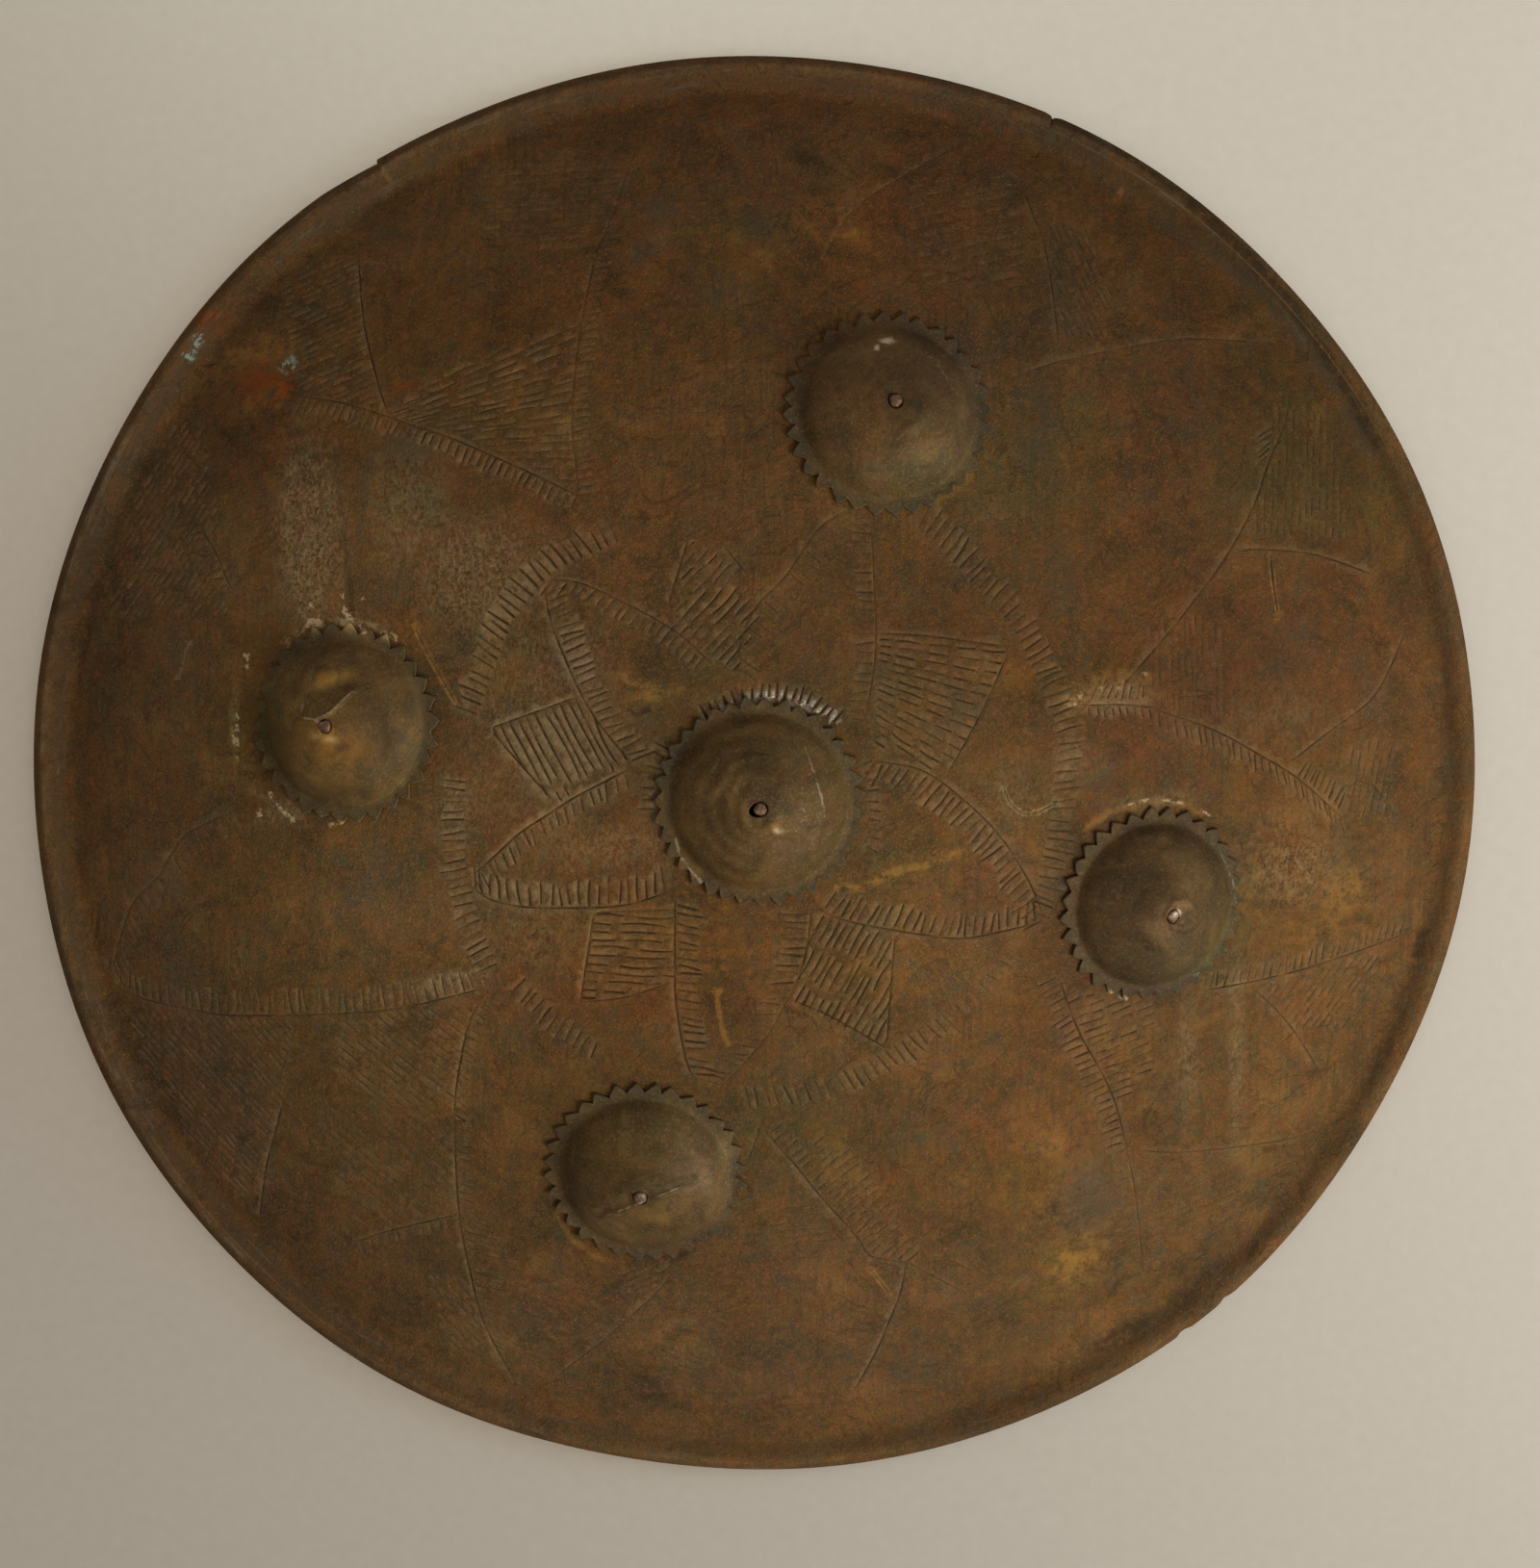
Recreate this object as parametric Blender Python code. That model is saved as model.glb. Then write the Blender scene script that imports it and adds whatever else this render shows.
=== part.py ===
"""Dhal: a round dished shield of sheet iron with five brass bosses, each held by an iron rivet.

Metres, +Z up. The shield lies face up on its rim: the worn underside of the rim's rolled bead
is the plane z = 0, and the origin is the middle of that plane.
"""
import math
from collections import namedtuple

import bmesh
import bpy
from mathutils import Matrix, Vector

# The plate: one sheet, dished to a sphere, its edge rolled outward into a bead
SHIELD_RADIUS = 0.2238
DISH_RADIUS = 0.370
PLATE_THICKNESS = 0.0014
VALLEY_HEIGHT = 0.0055
VALLEY_WIDTH = 0.0020
BEAD_RADIUS = 0.0043
BEAD_CURL_END = math.radians(230)
REST_FLAT_WIDTH = 0.0022

# The rim is out of round: how many lobes, how high each stands, and where the first one is
RimLobe = namedtuple("RimLobe", "count height phase")
RIM_LOBES = (
    RimLobe(2, 0.00125, math.radians(21)),
    RimLobe(4, 0.00045, math.radians(152)),
    RimLobe(5, 0.00025, math.radians(25)),
    RimLobe(6, 0.00025, math.radians(2)),
    RimLobe(10, 0.00030, math.radians(-115)),
)
# Out to here the plate is a true sphere, and the rim's lobes grow from here outward
TRUE_DISH_RADIUS = 0.165

# Damage along the rim, which dies out this far inside the valley: a split with a step, and knocks
DAMAGE_WIDTH = 0.007
SPLIT_ANGLE = math.radians(121.5)
SPLIT_STEP = 0.0011
SPLIT_FADE = math.radians(5)
SPLIT_HALF_WIDTH = math.radians(0.15)
RimKnock = namedtuple("RimKnock", "angle depth half_width")
RIM_KNOCKS = (
    RimKnock(math.radians(65.7), 0.0007, math.radians(0.5)),
    RimKnock(math.radians(-52.8), 0.0009, math.radians(0.8)),
    RimKnock(math.radians(-48.5), 0.0007, math.radians(0.8)),
)

# The bosses: hammered brass caps with a toothed flange that lies on the plate
CAP_FOOT_RADIUS = 0.0256
CAP_HEIGHT = 0.0155
FLANGE_WIDTH = 0.0062
NOTCH_DEPTH = 0.0036
BOSS_SHEET = 0.0009
BOSS_HOLE_RADIUS = 0.0028
# The cap's curve: above 1 the flank draws in towards a cone, at 1 it is round
CAP_CONE = 1.35
BOSS_DISTANCE = 0.124
# The caps are hand-cut: each has its own size and its own place, as shares of the sizes above
Boss = namedtuple("Boss", "name distance direction size teeth turn")
BOSSES = (
    Boss("center", 0.0, 0.0, 1.030, 35, math.radians(4)),
    Boss("top", 0.985 * BOSS_DISTANCE, math.radians(71.2), 1.022, 32, math.radians(2)),
    Boss("right", 1.012 * BOSS_DISTANCE, math.radians(-16.1), 0.975, 31, math.radians(0)),
    Boss("bottom", 0.987 * BOSS_DISTANCE, math.radians(-106.5), 0.996, 32, math.radians(5)),
    Boss("left", 1.027 * BOSS_DISTANCE, math.radians(170.3), 0.980, 30, math.radians(3)),
)

# A long blow that dented the left cap beside its rivet, and a crease across the bottom cap
Dent = namedtuple("Dent", "boss x y direction half_length half_width depth")
DENTS = (
    Dent("left", 0.0012, 0.0058, math.radians(28), 0.0105, 0.0040, 0.0013),
    Dent("bottom", 0.0013, -0.0019, math.radians(19), 0.0150, 0.0026, 0.0006),
)

# The rivets: an iron pin through cap and plate, with a low round head behind the plate
RIVET_RADIUS = 0.0020
RIVET_PROUD = 0.0011
RIVET_HEAD_RADIUS = 0.0050
RIVET_HEAD_HEIGHT = 0.0016
PEEN_DROP = 0.0005

# Touching pieces keep this gap
CLEARANCE = 0.0003

# How finely curves are divided
RIM_DIVISIONS = 72
DISH_RINGS = 7
BEAD_OUTER_POINTS = 8
BEAD_INNER_POINTS = 6
CAP_RINGS = 4
RIVET_SIDES = 12


def remove_all_objects():
    for item in list(bpy.data.objects):
        bpy.data.objects.remove(item, do_unlink=True)


def principled(name, colour, roughness, metallic):
    material = bpy.data.materials.new(name)
    material.use_nodes = True
    shader = material.node_tree.nodes["Principled BSDF"]
    shader.inputs["Base Color"].default_value = (*colour, 1.0)
    shader.inputs["Roughness"].default_value = roughness
    shader.inputs["Metallic"].default_value = metallic
    return material


def add_object(name, bm, material, parent):
    """Turn a bmesh into a smooth-shaded object with one material."""
    bmesh.ops.recalc_face_normals(bm, faces=bm.faces)
    mesh = bpy.data.meshes.new(name)
    bm.to_mesh(mesh)
    bm.free()
    mesh.shade_smooth()
    mesh.set_sharp_from_angle(angle=math.radians(35))
    mesh.materials.append(material)
    item = bpy.data.objects.new(name, mesh)
    bpy.context.scene.collection.objects.link(item)
    item.parent = parent
    return item


def add_ring(bm, points):
    return [bm.verts.new(point) for point in points]


def bridge(bm, ring_a, ring_b):
    """Join two rings, where ring_b has a whole number of points for each point of ring_a."""
    count = len(ring_a)
    share = len(ring_b) // count
    for index in range(count):
        near = ring_a[index]
        near_next = ring_a[(index + 1) % count]
        far = [ring_b[(index * share + step) % len(ring_b)] for step in range(share + 1)]
        if share == 1:
            bm.faces.new((near, near_next, far[1], far[0]))
            continue
        middle = share // 2
        for step in range(share):
            pivot = near if step < middle else near_next
            bm.faces.new((pivot, far[step + 1], far[step]))
        bm.faces.new((near, near_next, far[middle]))


def close_fan(bm, ring, tip):
    for index, vertex in enumerate(ring):
        bm.faces.new((vertex, ring[(index + 1) % len(ring)], tip))


def smoothstep(low, high, value):
    share = min(max((value - low) / (high - low), 0.0), 1.0)
    return share * share * (3.0 - 2.0 * share)


# The bead's round section, cut flat below where it rests
BEAD_CENTER_DISTANCE = SHIELD_RADIUS - BEAD_RADIUS
BEAD_CENTER_HEIGHT = math.sqrt(BEAD_RADIUS ** 2 - (REST_FLAT_WIDTH / 2) ** 2)
BEAD_START = math.pi - math.asin((VALLEY_HEIGHT - BEAD_CENTER_HEIGHT) / BEAD_RADIUS)
VALLEY_OUTER = BEAD_CENTER_DISTANCE + BEAD_RADIUS * math.cos(BEAD_START)
VALLEY_INNER = VALLEY_OUTER - VALLEY_WIDTH
DISH_CENTER_HEIGHT = VALLEY_HEIGHT - math.sqrt(DISH_RADIUS ** 2 - VALLEY_INNER ** 2)


def bead_point(radius, angle):
    return (
        BEAD_CENTER_DISTANCE + radius * math.cos(angle),
        BEAD_CENTER_HEIGHT + radius * math.sin(angle),
    )


def dish_point(radius, polar):
    return radius * math.sin(polar), DISH_CENTER_HEIGHT + radius * math.cos(polar)


def plate_profile():
    """Section of the plate from its outer pole, round the bead and back to its inner pole."""
    outer_edge = math.asin(VALLEY_INNER / DISH_RADIUS)
    outer = [dish_point(DISH_RADIUS, outer_edge * ring / DISH_RINGS) for ring in range(DISH_RINGS + 1)]
    flat_half_angle = math.asin(REST_FLAT_WIDTH / 2 / BEAD_RADIUS)
    flat_start = -math.pi / 2 + flat_half_angle
    sweep = BEAD_START - flat_start
    bead_outer = [
        bead_point(BEAD_RADIUS, BEAD_START - sweep * step / (BEAD_OUTER_POINTS - 1))
        for step in range(BEAD_OUTER_POINTS)
    ]
    flat_end = bead_point(BEAD_RADIUS, -math.pi / 2 - flat_half_angle)
    curl_edge = bead_point(BEAD_RADIUS, BEAD_CURL_END)
    inner_radius = BEAD_RADIUS - PLATE_THICKNESS
    under_valley = VALLEY_HEIGHT - PLATE_THICKNESS
    inner_start = math.pi - math.asin((under_valley - BEAD_CENTER_HEIGHT) / inner_radius)
    inner_sweep = inner_start - (BEAD_CURL_END - 2 * math.pi)
    bead_inner = [
        bead_point(inner_radius, BEAD_CURL_END + inner_sweep * step / (BEAD_INNER_POINTS - 1))
        for step in range(BEAD_INNER_POINTS)
    ]
    back_radius = DISH_RADIUS - PLATE_THICKNESS
    inner_edge = math.acos((under_valley - DISH_CENTER_HEIGHT) / back_radius)
    inner = [dish_point(back_radius, inner_edge * ring / DISH_RINGS) for ring in range(DISH_RINGS, -1, -1)]
    return outer + bead_outer + [flat_end, curl_edge] + bead_inner + inner


def angle_between(angle, reference):
    """Signed turn from the reference, between -pi and pi."""
    return (angle - reference + math.pi) % (2 * math.pi) - math.pi


def lobe_offset(angle):
    """How far the rim stands out from its mean radius in one direction."""
    return sum(lobe.height * math.cos(lobe.count * angle - lobe.phase) for lobe in RIM_LOBES)


def damage_depth(angle):
    """How far the bead is driven in by the split and the knocks."""
    past_split = angle_between(angle, SPLIT_ANGLE)
    depth = SPLIT_STEP * (1 - past_split / SPLIT_FADE) if 0 < past_split < SPLIT_FADE else 0.0
    for knock in RIM_KNOCKS:
        share = abs(angle_between(angle, knock.angle)) / knock.half_width
        depth += knock.depth * (1 - smoothstep(0, 1, share))
    return depth


def rim_angles():
    """Even divisions, with more of them where the rim is split or knocked."""
    angles = [2 * math.pi * step / RIM_DIVISIONS for step in range(RIM_DIVISIONS)]
    split = [SPLIT_ANGLE - SPLIT_HALF_WIDTH, SPLIT_ANGLE + SPLIT_HALF_WIDTH]
    knocks = [knock.angle + side * knock.half_width for knock in RIM_KNOCKS for side in (-1, 0, 1)]
    extra = [angle % (2 * math.pi) for angle in split + knocks]
    room = math.radians(0.25)
    even = [angle for angle in angles if all(abs(angle_between(angle, own)) > room for own in extra)]
    return sorted(even + extra)


def rim_point(distance, height, angle):
    reach = distance + lobe_offset(angle) * smoothstep(TRUE_DISH_RADIUS, VALLEY_INNER, distance)
    reach -= damage_depth(angle) * smoothstep(VALLEY_INNER - DAMAGE_WIDTH, VALLEY_OUTER, distance)
    return Vector((reach * math.cos(angle), reach * math.sin(angle), height))


def rim_middle():
    """Middle of the rim's own outline, which the origin is brought to."""
    edge = [rim_point(SHIELD_RADIUS, 0.0, angle) for angle in rim_angles()]
    across = [point.x for point in edge]
    along = [point.y for point in edge]
    return Vector(((min(across) + max(across)) / 2, (min(along) + max(along)) / 2, 0.0))


def boss_frame(boss):
    """Frame on the plate's outer face: origin under the cap, +Z out of the plate."""
    polar = math.asin(boss.distance / DISH_RADIUS)
    distance, height = dish_point(DISH_RADIUS, polar)
    place = Vector((distance * math.cos(boss.direction), distance * math.sin(boss.direction), height))
    lean = Matrix.Rotation(boss.direction, 4, "Z") @ Matrix.Rotation(polar, 4, "Y")
    return Matrix.Translation(place) @ lean @ Matrix.Rotation(-boss.direction, 4, "Z")


def add_shield_body(parent, material):
    bm = bmesh.new()
    angles = rim_angles()
    profile = plate_profile()
    rings = [
        add_ring(bm, [rim_point(distance, height, angle) for angle in angles])
        for distance, height in profile[1:-1]
    ]
    for ring_a, ring_b in zip(rings, rings[1:]):
        bridge(bm, ring_a, ring_b)
    close_fan(bm, rings[0], bm.verts.new((0.0, 0.0, profile[0][1])))
    close_fan(bm, rings[-1], bm.verts.new((0.0, 0.0, profile[-1][1])))
    return add_object("shield_body", bm, material, parent)


def cut_rivet_holes(body, parent):
    """A hole through the plate for each rivet's pin."""
    reach = 4 * PLATE_THICKNESS
    bm = bmesh.new()
    for boss in BOSSES:
        middle = Matrix.Translation((0.0, 0.0, -PLATE_THICKNESS / 2))
        bmesh.ops.create_cone(
            bm,
            cap_ends=True,
            segments=RIVET_SIDES,
            radius1=RIVET_RADIUS + CLEARANCE,
            radius2=RIVET_RADIUS + CLEARANCE,
            depth=reach,
            matrix=boss_frame(boss) @ middle,
        )
    cutter = add_object("rivet_hole_cutter", bm, body.data.materials[0], parent)
    cutter.hide_render = True
    cutter.display_type = "WIRE"
    holes = body.modifiers.new("Rivet holes", "BOOLEAN")
    holes.operation = "DIFFERENCE"
    holes.object = cutter


def seat_height(distance):
    """Underside of a flange above its own frame, following the dish with the clearance."""
    return math.sqrt(DISH_RADIUS ** 2 - distance ** 2) - DISH_RADIUS + CLEARANCE


def foot_radius(boss):
    return boss.size * CAP_FOOT_RADIUS


def tip_radius(boss):
    return boss.size * (CAP_FOOT_RADIUS + FLANGE_WIDTH)


def dent_depth(boss, x, y):
    depth = 0.0
    for dent in DENTS:
        if dent.boss != boss.name:
            continue
        along = (x - dent.x) * math.cos(dent.direction) + (y - dent.y) * math.sin(dent.direction)
        across = (y - dent.y) * math.cos(dent.direction) - (x - dent.x) * math.sin(dent.direction)
        share = math.hypot(along / dent.half_length, across / dent.half_width)
        depth += dent.depth * (1 - smoothstep(0, 1, share))
    return depth


def hole_turn(foot):
    """Where the rivet hole cuts the cap's curve, whose foot is at turn 0 and tip at a quarter turn."""
    return math.acos((BOSS_HOLE_RADIUS / foot) ** (1 / CAP_CONE))


def cap_tip(boss):
    """Top of the cap above its frame, at the edge of its rivet hole."""
    foot = foot_radius(boss)
    return seat_height(foot) + BOSS_SHEET + boss.size * CAP_HEIGHT * math.sin(hole_turn(foot))


def cap_rings(boss, foot, height, foot_height):
    """Rings of one face of the cap, from its hole down to its foot."""
    rings = []
    for ring in range(CAP_RINGS, -1, -1):
        turn = hole_turn(foot) * ring / CAP_RINGS
        distance = foot * math.cos(turn) ** CAP_CONE
        points = []
        for tooth in range(boss.teeth):
            angle = boss.turn + 2 * math.pi * tooth / boss.teeth
            x = distance * math.cos(angle)
            y = distance * math.sin(angle)
            z = foot_height + height * math.sin(turn) - dent_depth(boss, x, y)
            points.append((x, y, z))
        rings.append(points)
    return rings


def tooth_ring(boss, lift):
    """Edge of the flange: a notch at each cap division and a tooth half-way to the next."""
    points = []
    for step in range(2 * boss.teeth):
        angle = boss.turn + math.pi * step / boss.teeth
        distance = tip_radius(boss) if step % 2 else tip_radius(boss) - NOTCH_DEPTH
        points.append((distance * math.cos(angle), distance * math.sin(angle), seat_height(distance) + lift))
    return points


def add_boss(boss, parent, material):
    """A hollow cap of one thickness, open below and at the hole for its rivet."""
    bm = bmesh.new()
    foot = foot_radius(boss)
    height = boss.size * CAP_HEIGHT
    foot_height = seat_height(foot) + BOSS_SHEET
    inner_foot = foot - BOSS_SHEET
    inner_foot_height = seat_height(inner_foot)
    inner_height = foot_height + height - BOSS_SHEET - inner_foot_height
    outer = [add_ring(bm, ring) for ring in cap_rings(boss, foot, height, foot_height)]
    inner = [add_ring(bm, ring) for ring in cap_rings(boss, inner_foot, inner_height, inner_foot_height)]
    outer.append(add_ring(bm, tooth_ring(boss, BOSS_SHEET)))
    inner.append(add_ring(bm, tooth_ring(boss, 0.0)))
    for rings in (outer, inner):
        for ring_a, ring_b in zip(rings, rings[1:]):
            bridge(bm, ring_a, ring_b)
    bridge(bm, outer[0], inner[0])
    bridge(bm, outer[-1], inner[-1])
    item = add_object("boss_" + boss.name, bm, material, parent)
    item.matrix_local = boss_frame(boss)
    return item


def facet_sag(boss):
    """How far the plate's flat facets stand in behind the true sphere where a rivet passes."""
    polar = math.asin(boss.distance / DISH_RADIUS)
    ring_step = math.asin(VALLEY_INNER / DISH_RADIUS) / DISH_RINGS
    between_rings = DISH_RADIUS * (1 - math.cos(ring_step / 2))
    between_divisions = boss.distance * (1 - math.cos(math.pi / RIM_DIVISIONS)) * math.sin(polar)
    return between_rings + between_divisions


def add_rivet(boss, parent, material):
    """A pin with a rounded end above the cap and a low head behind the plate."""
    bm = bmesh.new()
    top = cap_tip(boss) + RIVET_PROUD
    head_top = -PLATE_THICKNESS - facet_sag(boss) - CLEARANCE
    profile = (
        (RIVET_RADIUS * 0.65, top - PEEN_DROP * 0.3),
        (RIVET_RADIUS, top - PEEN_DROP),
        (RIVET_RADIUS, head_top),
        (RIVET_HEAD_RADIUS, head_top),
        (RIVET_HEAD_RADIUS * 0.75, head_top - RIVET_HEAD_HEIGHT * 0.7),
    )
    rings = []
    for distance, height in profile:
        turns = [2 * math.pi * side / RIVET_SIDES for side in range(RIVET_SIDES)]
        rings.append(add_ring(bm, [(distance * math.cos(t), distance * math.sin(t), height) for t in turns]))
    for ring_a, ring_b in zip(rings, rings[1:]):
        bridge(bm, ring_a, ring_b)
    close_fan(bm, rings[0], bm.verts.new((0.0, 0.0, top)))
    close_fan(bm, rings[-1], bm.verts.new((0.0, 0.0, head_top - RIVET_HEAD_HEIGHT)))
    item = add_object("rivet_" + boss.name, bm, material, parent)
    item.matrix_local = boss_frame(boss)
    return item


def main():
    remove_all_objects()
    plate_iron = principled("Rusted iron plate", (0.095, 0.052, 0.026), 0.62, 0.55)
    dark_brass = principled("Tarnished brass", (0.105, 0.085, 0.062), 0.42, 0.85)
    rivet_iron = principled("Rusted iron pin", (0.20, 0.105, 0.065), 0.60, 0.50)
    frame = bpy.data.objects.new("shield_frame", None)
    bpy.context.scene.collection.objects.link(frame)
    frame.location = -rim_middle()
    body = add_shield_body(frame, plate_iron)
    cut_rivet_holes(body, frame)
    for boss in BOSSES:
        add_boss(boss, frame, dark_brass)
        add_rivet(boss, frame, rivet_iron)


main()
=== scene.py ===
"""Looks of the dhal shield: chased and rusted sheet iron, tarnished brass caps, hammered iron pins.

Metres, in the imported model's frame. The shield lies face up on a pale floor, seen from above
and a little towards +Y, as in the photograph.
"""
import math
import random
from collections import namedtuple

import bmesh
import bpy
import numpy as np
from mathutils import Matrix, Vector, geometry, kdtree, noise


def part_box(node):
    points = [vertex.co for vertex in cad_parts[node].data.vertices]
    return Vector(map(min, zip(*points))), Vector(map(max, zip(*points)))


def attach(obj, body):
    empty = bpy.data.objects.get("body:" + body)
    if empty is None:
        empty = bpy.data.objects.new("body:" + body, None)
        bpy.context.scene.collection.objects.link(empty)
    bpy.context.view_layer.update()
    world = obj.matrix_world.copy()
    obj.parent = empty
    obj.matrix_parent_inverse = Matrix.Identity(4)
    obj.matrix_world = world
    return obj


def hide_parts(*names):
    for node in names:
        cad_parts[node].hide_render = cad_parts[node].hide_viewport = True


# The photograph's view: its size in pixels, and a camera solved from the rim and the middle cap
PHOTO_WIDTH = 1600
PHOTO_HEIGHT = 1629
FOCAL_PIXELS = 6719
VIEW_TILT = math.radians(7.5)
VIEW_TURN = math.radians(8.8)
VIEW_DISTANCE = 2.0
VIEW_TARGET = Vector((0.0043, -0.0014, 0.02))
PHOTO_PIXEL = 0.000294

# The plate, as in the solids
SHIELD_RADIUS = 0.2238
DISH_RADIUS = 0.370
PLATE_THICKNESS = 0.0014
VALLEY_HEIGHT = 0.0055
VALLEY_WIDTH = 0.0020
BEAD_RADIUS = 0.0043
BEAD_CURL_END = math.radians(230)
REST_FLAT_WIDTH = 0.0022
TRUE_DISH_RADIUS = 0.165
RimLobe = namedtuple("RimLobe", "count height phase")
RIM_LOBES = (
    RimLobe(2, 0.00125, math.radians(21)),
    RimLobe(4, 0.00045, math.radians(152)),
    RimLobe(5, 0.00025, math.radians(25)),
    RimLobe(6, 0.00025, math.radians(2)),
    RimLobe(10, 0.00030, math.radians(-115)),
)
DAMAGE_WIDTH = 0.007
SPLIT_ANGLE = math.radians(121.5)
SPLIT_STEP = 0.0011
SPLIT_FADE = math.radians(5)
RimKnock = namedtuple("RimKnock", "angle depth half_width")
RIM_KNOCKS = (
    RimKnock(math.radians(65.7), 0.0007, math.radians(0.5)),
    RimKnock(math.radians(-52.8), 0.0009, math.radians(0.8)),
    RimKnock(math.radians(-48.5), 0.0007, math.radians(0.8)),
)
# Cracks across the bead at the split and at the first knock
CRACKS = (SPLIT_ANGLE, RIM_KNOCKS[0].angle)
CRACK_DEPTH = 0.0004
CRACK_HALF_WIDTH = math.radians(0.14)
# The fine surface stays this far inside the solids' outermost corners
RIM_INSET = 0.00012
# Unevenness of the beaten plate, which fades out from here to the rim, and of the bead
SWELL_HEIGHT = 0.00022
HAMMER_DEPTH = 0.00007
SWELL_END = 0.185
BEAD_WAVE = 0.0005
BEAD_LUMPS = 0.00020
EDGE_LUMPS = 0.0003
# Their noises: lumps to a metre, and the layer of the noise. The bead's lumps climb from layer to layer
SWELL_NOISE = (16, 3.1)
HAMMER_NOISE = (70, 8.4)
BEAD_WAVE_NOISE = (38, 1.7)
BEAD_LUMPS_SCALE = 110
BEAD_LAYERS = 300
# The chased face ends here. Beyond it the rim is a soft hollow, a flattened ledge on the bead's
# crown and a rounded outer edge: distance and height
FACE_EDGE = 0.2108
EDGE_ROOM = 0.0012
LEDGE_CURVE = (
    (0.2120, 0.00665), (0.2132, 0.00632), (0.2145, 0.00622), (0.2158, 0.00632), (0.2172, 0.00656),
    (0.2186, 0.00685), (0.2200, 0.00702), (0.2211, 0.00697), (0.2220, 0.00655), (0.2228, 0.00580),
    (0.2234, 0.00490),
)
# Dirt lies in the hollow round this distance
HOLLOW_MIDDLE = 0.2165
HOLLOW_REACH = 0.0038
# The bead's own colour sets in over this distance, and its edge is uneven from here on
BEAD_COLOUR_START = 0.2128
BEAD_COLOUR_FULL = 0.2160
UNEVEN_EDGE_START = 0.2200
UNEVEN_EDGE_FULL = 0.2230
# Painted light: the ledge is painted palest in this direction, to the left, where it catches the key
# lamp. It is also rubbed along its outer ridge
PAINTED_LIGHT_DIRECTION = math.radians(165)
RIDGE_DISTANCE = 0.2209
RIDGE_REACH = 0.0014
# How pale the ridge and the whole bead are: a mean, and how far it swings with the direction. The mean
# is their own dust and rubbing, the swing is painted light
RIDGE_RUB_AND_PAINTED_LIGHT = (0.40, 0.25)
BEAD_DUST_AND_PAINTED_LIGHT = (0.62, 0.30)
# The ridge is rubbed in uneven lengths: the mean share, and noises round the rim with their weights
RUBBED_MEAN = 0.35
RUBBED_NOISES = (((5, 4.2), 1.3), ((40, 6.1), 0.9))

# The caps, as in the solids
CAP_FOOT_RADIUS = 0.0256
CAP_HEIGHT = 0.0155
FLANGE_WIDTH = 0.0062
NOTCH_DEPTH = 0.0036
BOSS_SHEET = 0.0009
BOSS_HOLE_RADIUS = 0.0028
CAP_CONE = 1.35
CLEARANCE = 0.0003
BOSS_DISTANCE = 0.124
# Each cap's hole has its own radius in the fine surface, and the middle one's gapes to one side
GAPE_DIRECTION = math.radians(200)
Boss = namedtuple("Boss", "name distance direction size teeth turn hole gape")
BOSSES = (
    Boss("center", 0.0, 0.0, 1.030, 35, math.radians(4), 0.0021, 0.0013),
    Boss("top", 0.985 * BOSS_DISTANCE, math.radians(71.2), 1.022, 32, math.radians(2), 0.0021, 0.0),
    Boss("right", 1.012 * BOSS_DISTANCE, math.radians(-16.1), 0.975, 31, math.radians(0), 0.0021, 0.0),
    Boss("bottom", 0.987 * BOSS_DISTANCE, math.radians(-106.5), 0.996, 32, math.radians(5), 0.0021, 0.0),
    Boss("left", 1.027 * BOSS_DISTANCE, math.radians(170.3), 0.980, 30, math.radians(3), 0.0021, 0.0),
)
# A cap's section from its pole to its flange, as shares of the foot's radius and of its height
CAP_SECTION = (
    (0.00, 1.00), (0.15, 0.985), (0.30, 0.93), (0.45, 0.83), (0.60, 0.70), (0.74, 0.55), (0.85, 0.395),
    (0.93, 0.245), (0.985, 0.10), (1.02, 0.022), (1.06, 0.0),
)
SECTION_STEP = 1 / 90
# The cap's angular divisions for each tooth, its rings from hole to foot, and across the flange
TOOTH_DIVISIONS = 10
CAP_RINGS = 60
FLANGE_RINGS = 5
# How the teeth vary: their skew, their tips' and notches' depth, and how far each is bent up
TOOTH_SKEW = (-0.13, 0.13)
TIP_SPREAD = (-0.0011, 0.0)
NOTCH_SPREAD = (-0.0006, 0.0005)
TOOTH_BEND = (-0.0002, 0.0005)
# A tooth's sides bulge as this power falls below one
TOOTH_BULGE = 0.9
# The dull foot sets in between these shares of the foot's radius, and is this dull where teeth start
DULL_START = 0.90
DULL_END = 1.05
DULL_AT_FOOT = 0.5
# The inside of a cap is this much narrower than its outer face, and a gaping hole's edge fades here
CAP_INSIDE = 0.985
GAPE_END = 0.0075
# Rings of the outer face that the inside follows, from the foot up
INSIDE_RINGS = (CAP_RINGS - 1, CAP_RINGS - 9, CAP_RINGS - 18, CAP_RINGS // 2, 8, 0)
# A pin's end: share of its radius, and drop below its top. Its head: share of radius, share of drop
PIN_END = ((0.30, 0.0), (0.62, 0.0001), (0.86, 0.0003), (1.0, 0.0007), (1.0, 0.0016), (0.96, 0.0030))
PIN_HEAD = ((1.0, 0.0), (1.0, 0.25), (0.86, 0.62), (0.55, 0.90), (0.2, 1.0))
PIN_SIDES = 28
# A pin's end is uneven: corners, how far they stand out, a random share, and dents with their noise
PIN_CORNERS = 3
PIN_CORNER_REACH = 0.10
PIN_SPREAD = (-0.05, 0.05)
PIN_DENTS = 0.0005
PIN_DENTS_NOISE = (700, 2.0)
RIVET_RADIUS = 0.0020
RIVET_PROUD = 0.0011
RIVET_HEAD_RADIUS = 0.0050
RIVET_HEAD_HEIGHT = 0.0016

# Chasing: half-width and depth of a chisel stroke and of a drawn line
STROKE_HALF_WIDTH = 0.00062
STROKE_DEPTH = 0.00044
# A chisel stroke narrows to this share at its far end, and the thinnest is this share as deep
STROKE_NARROWING = 0.72
THIN_STROKE_DEPTH = 0.35
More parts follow.
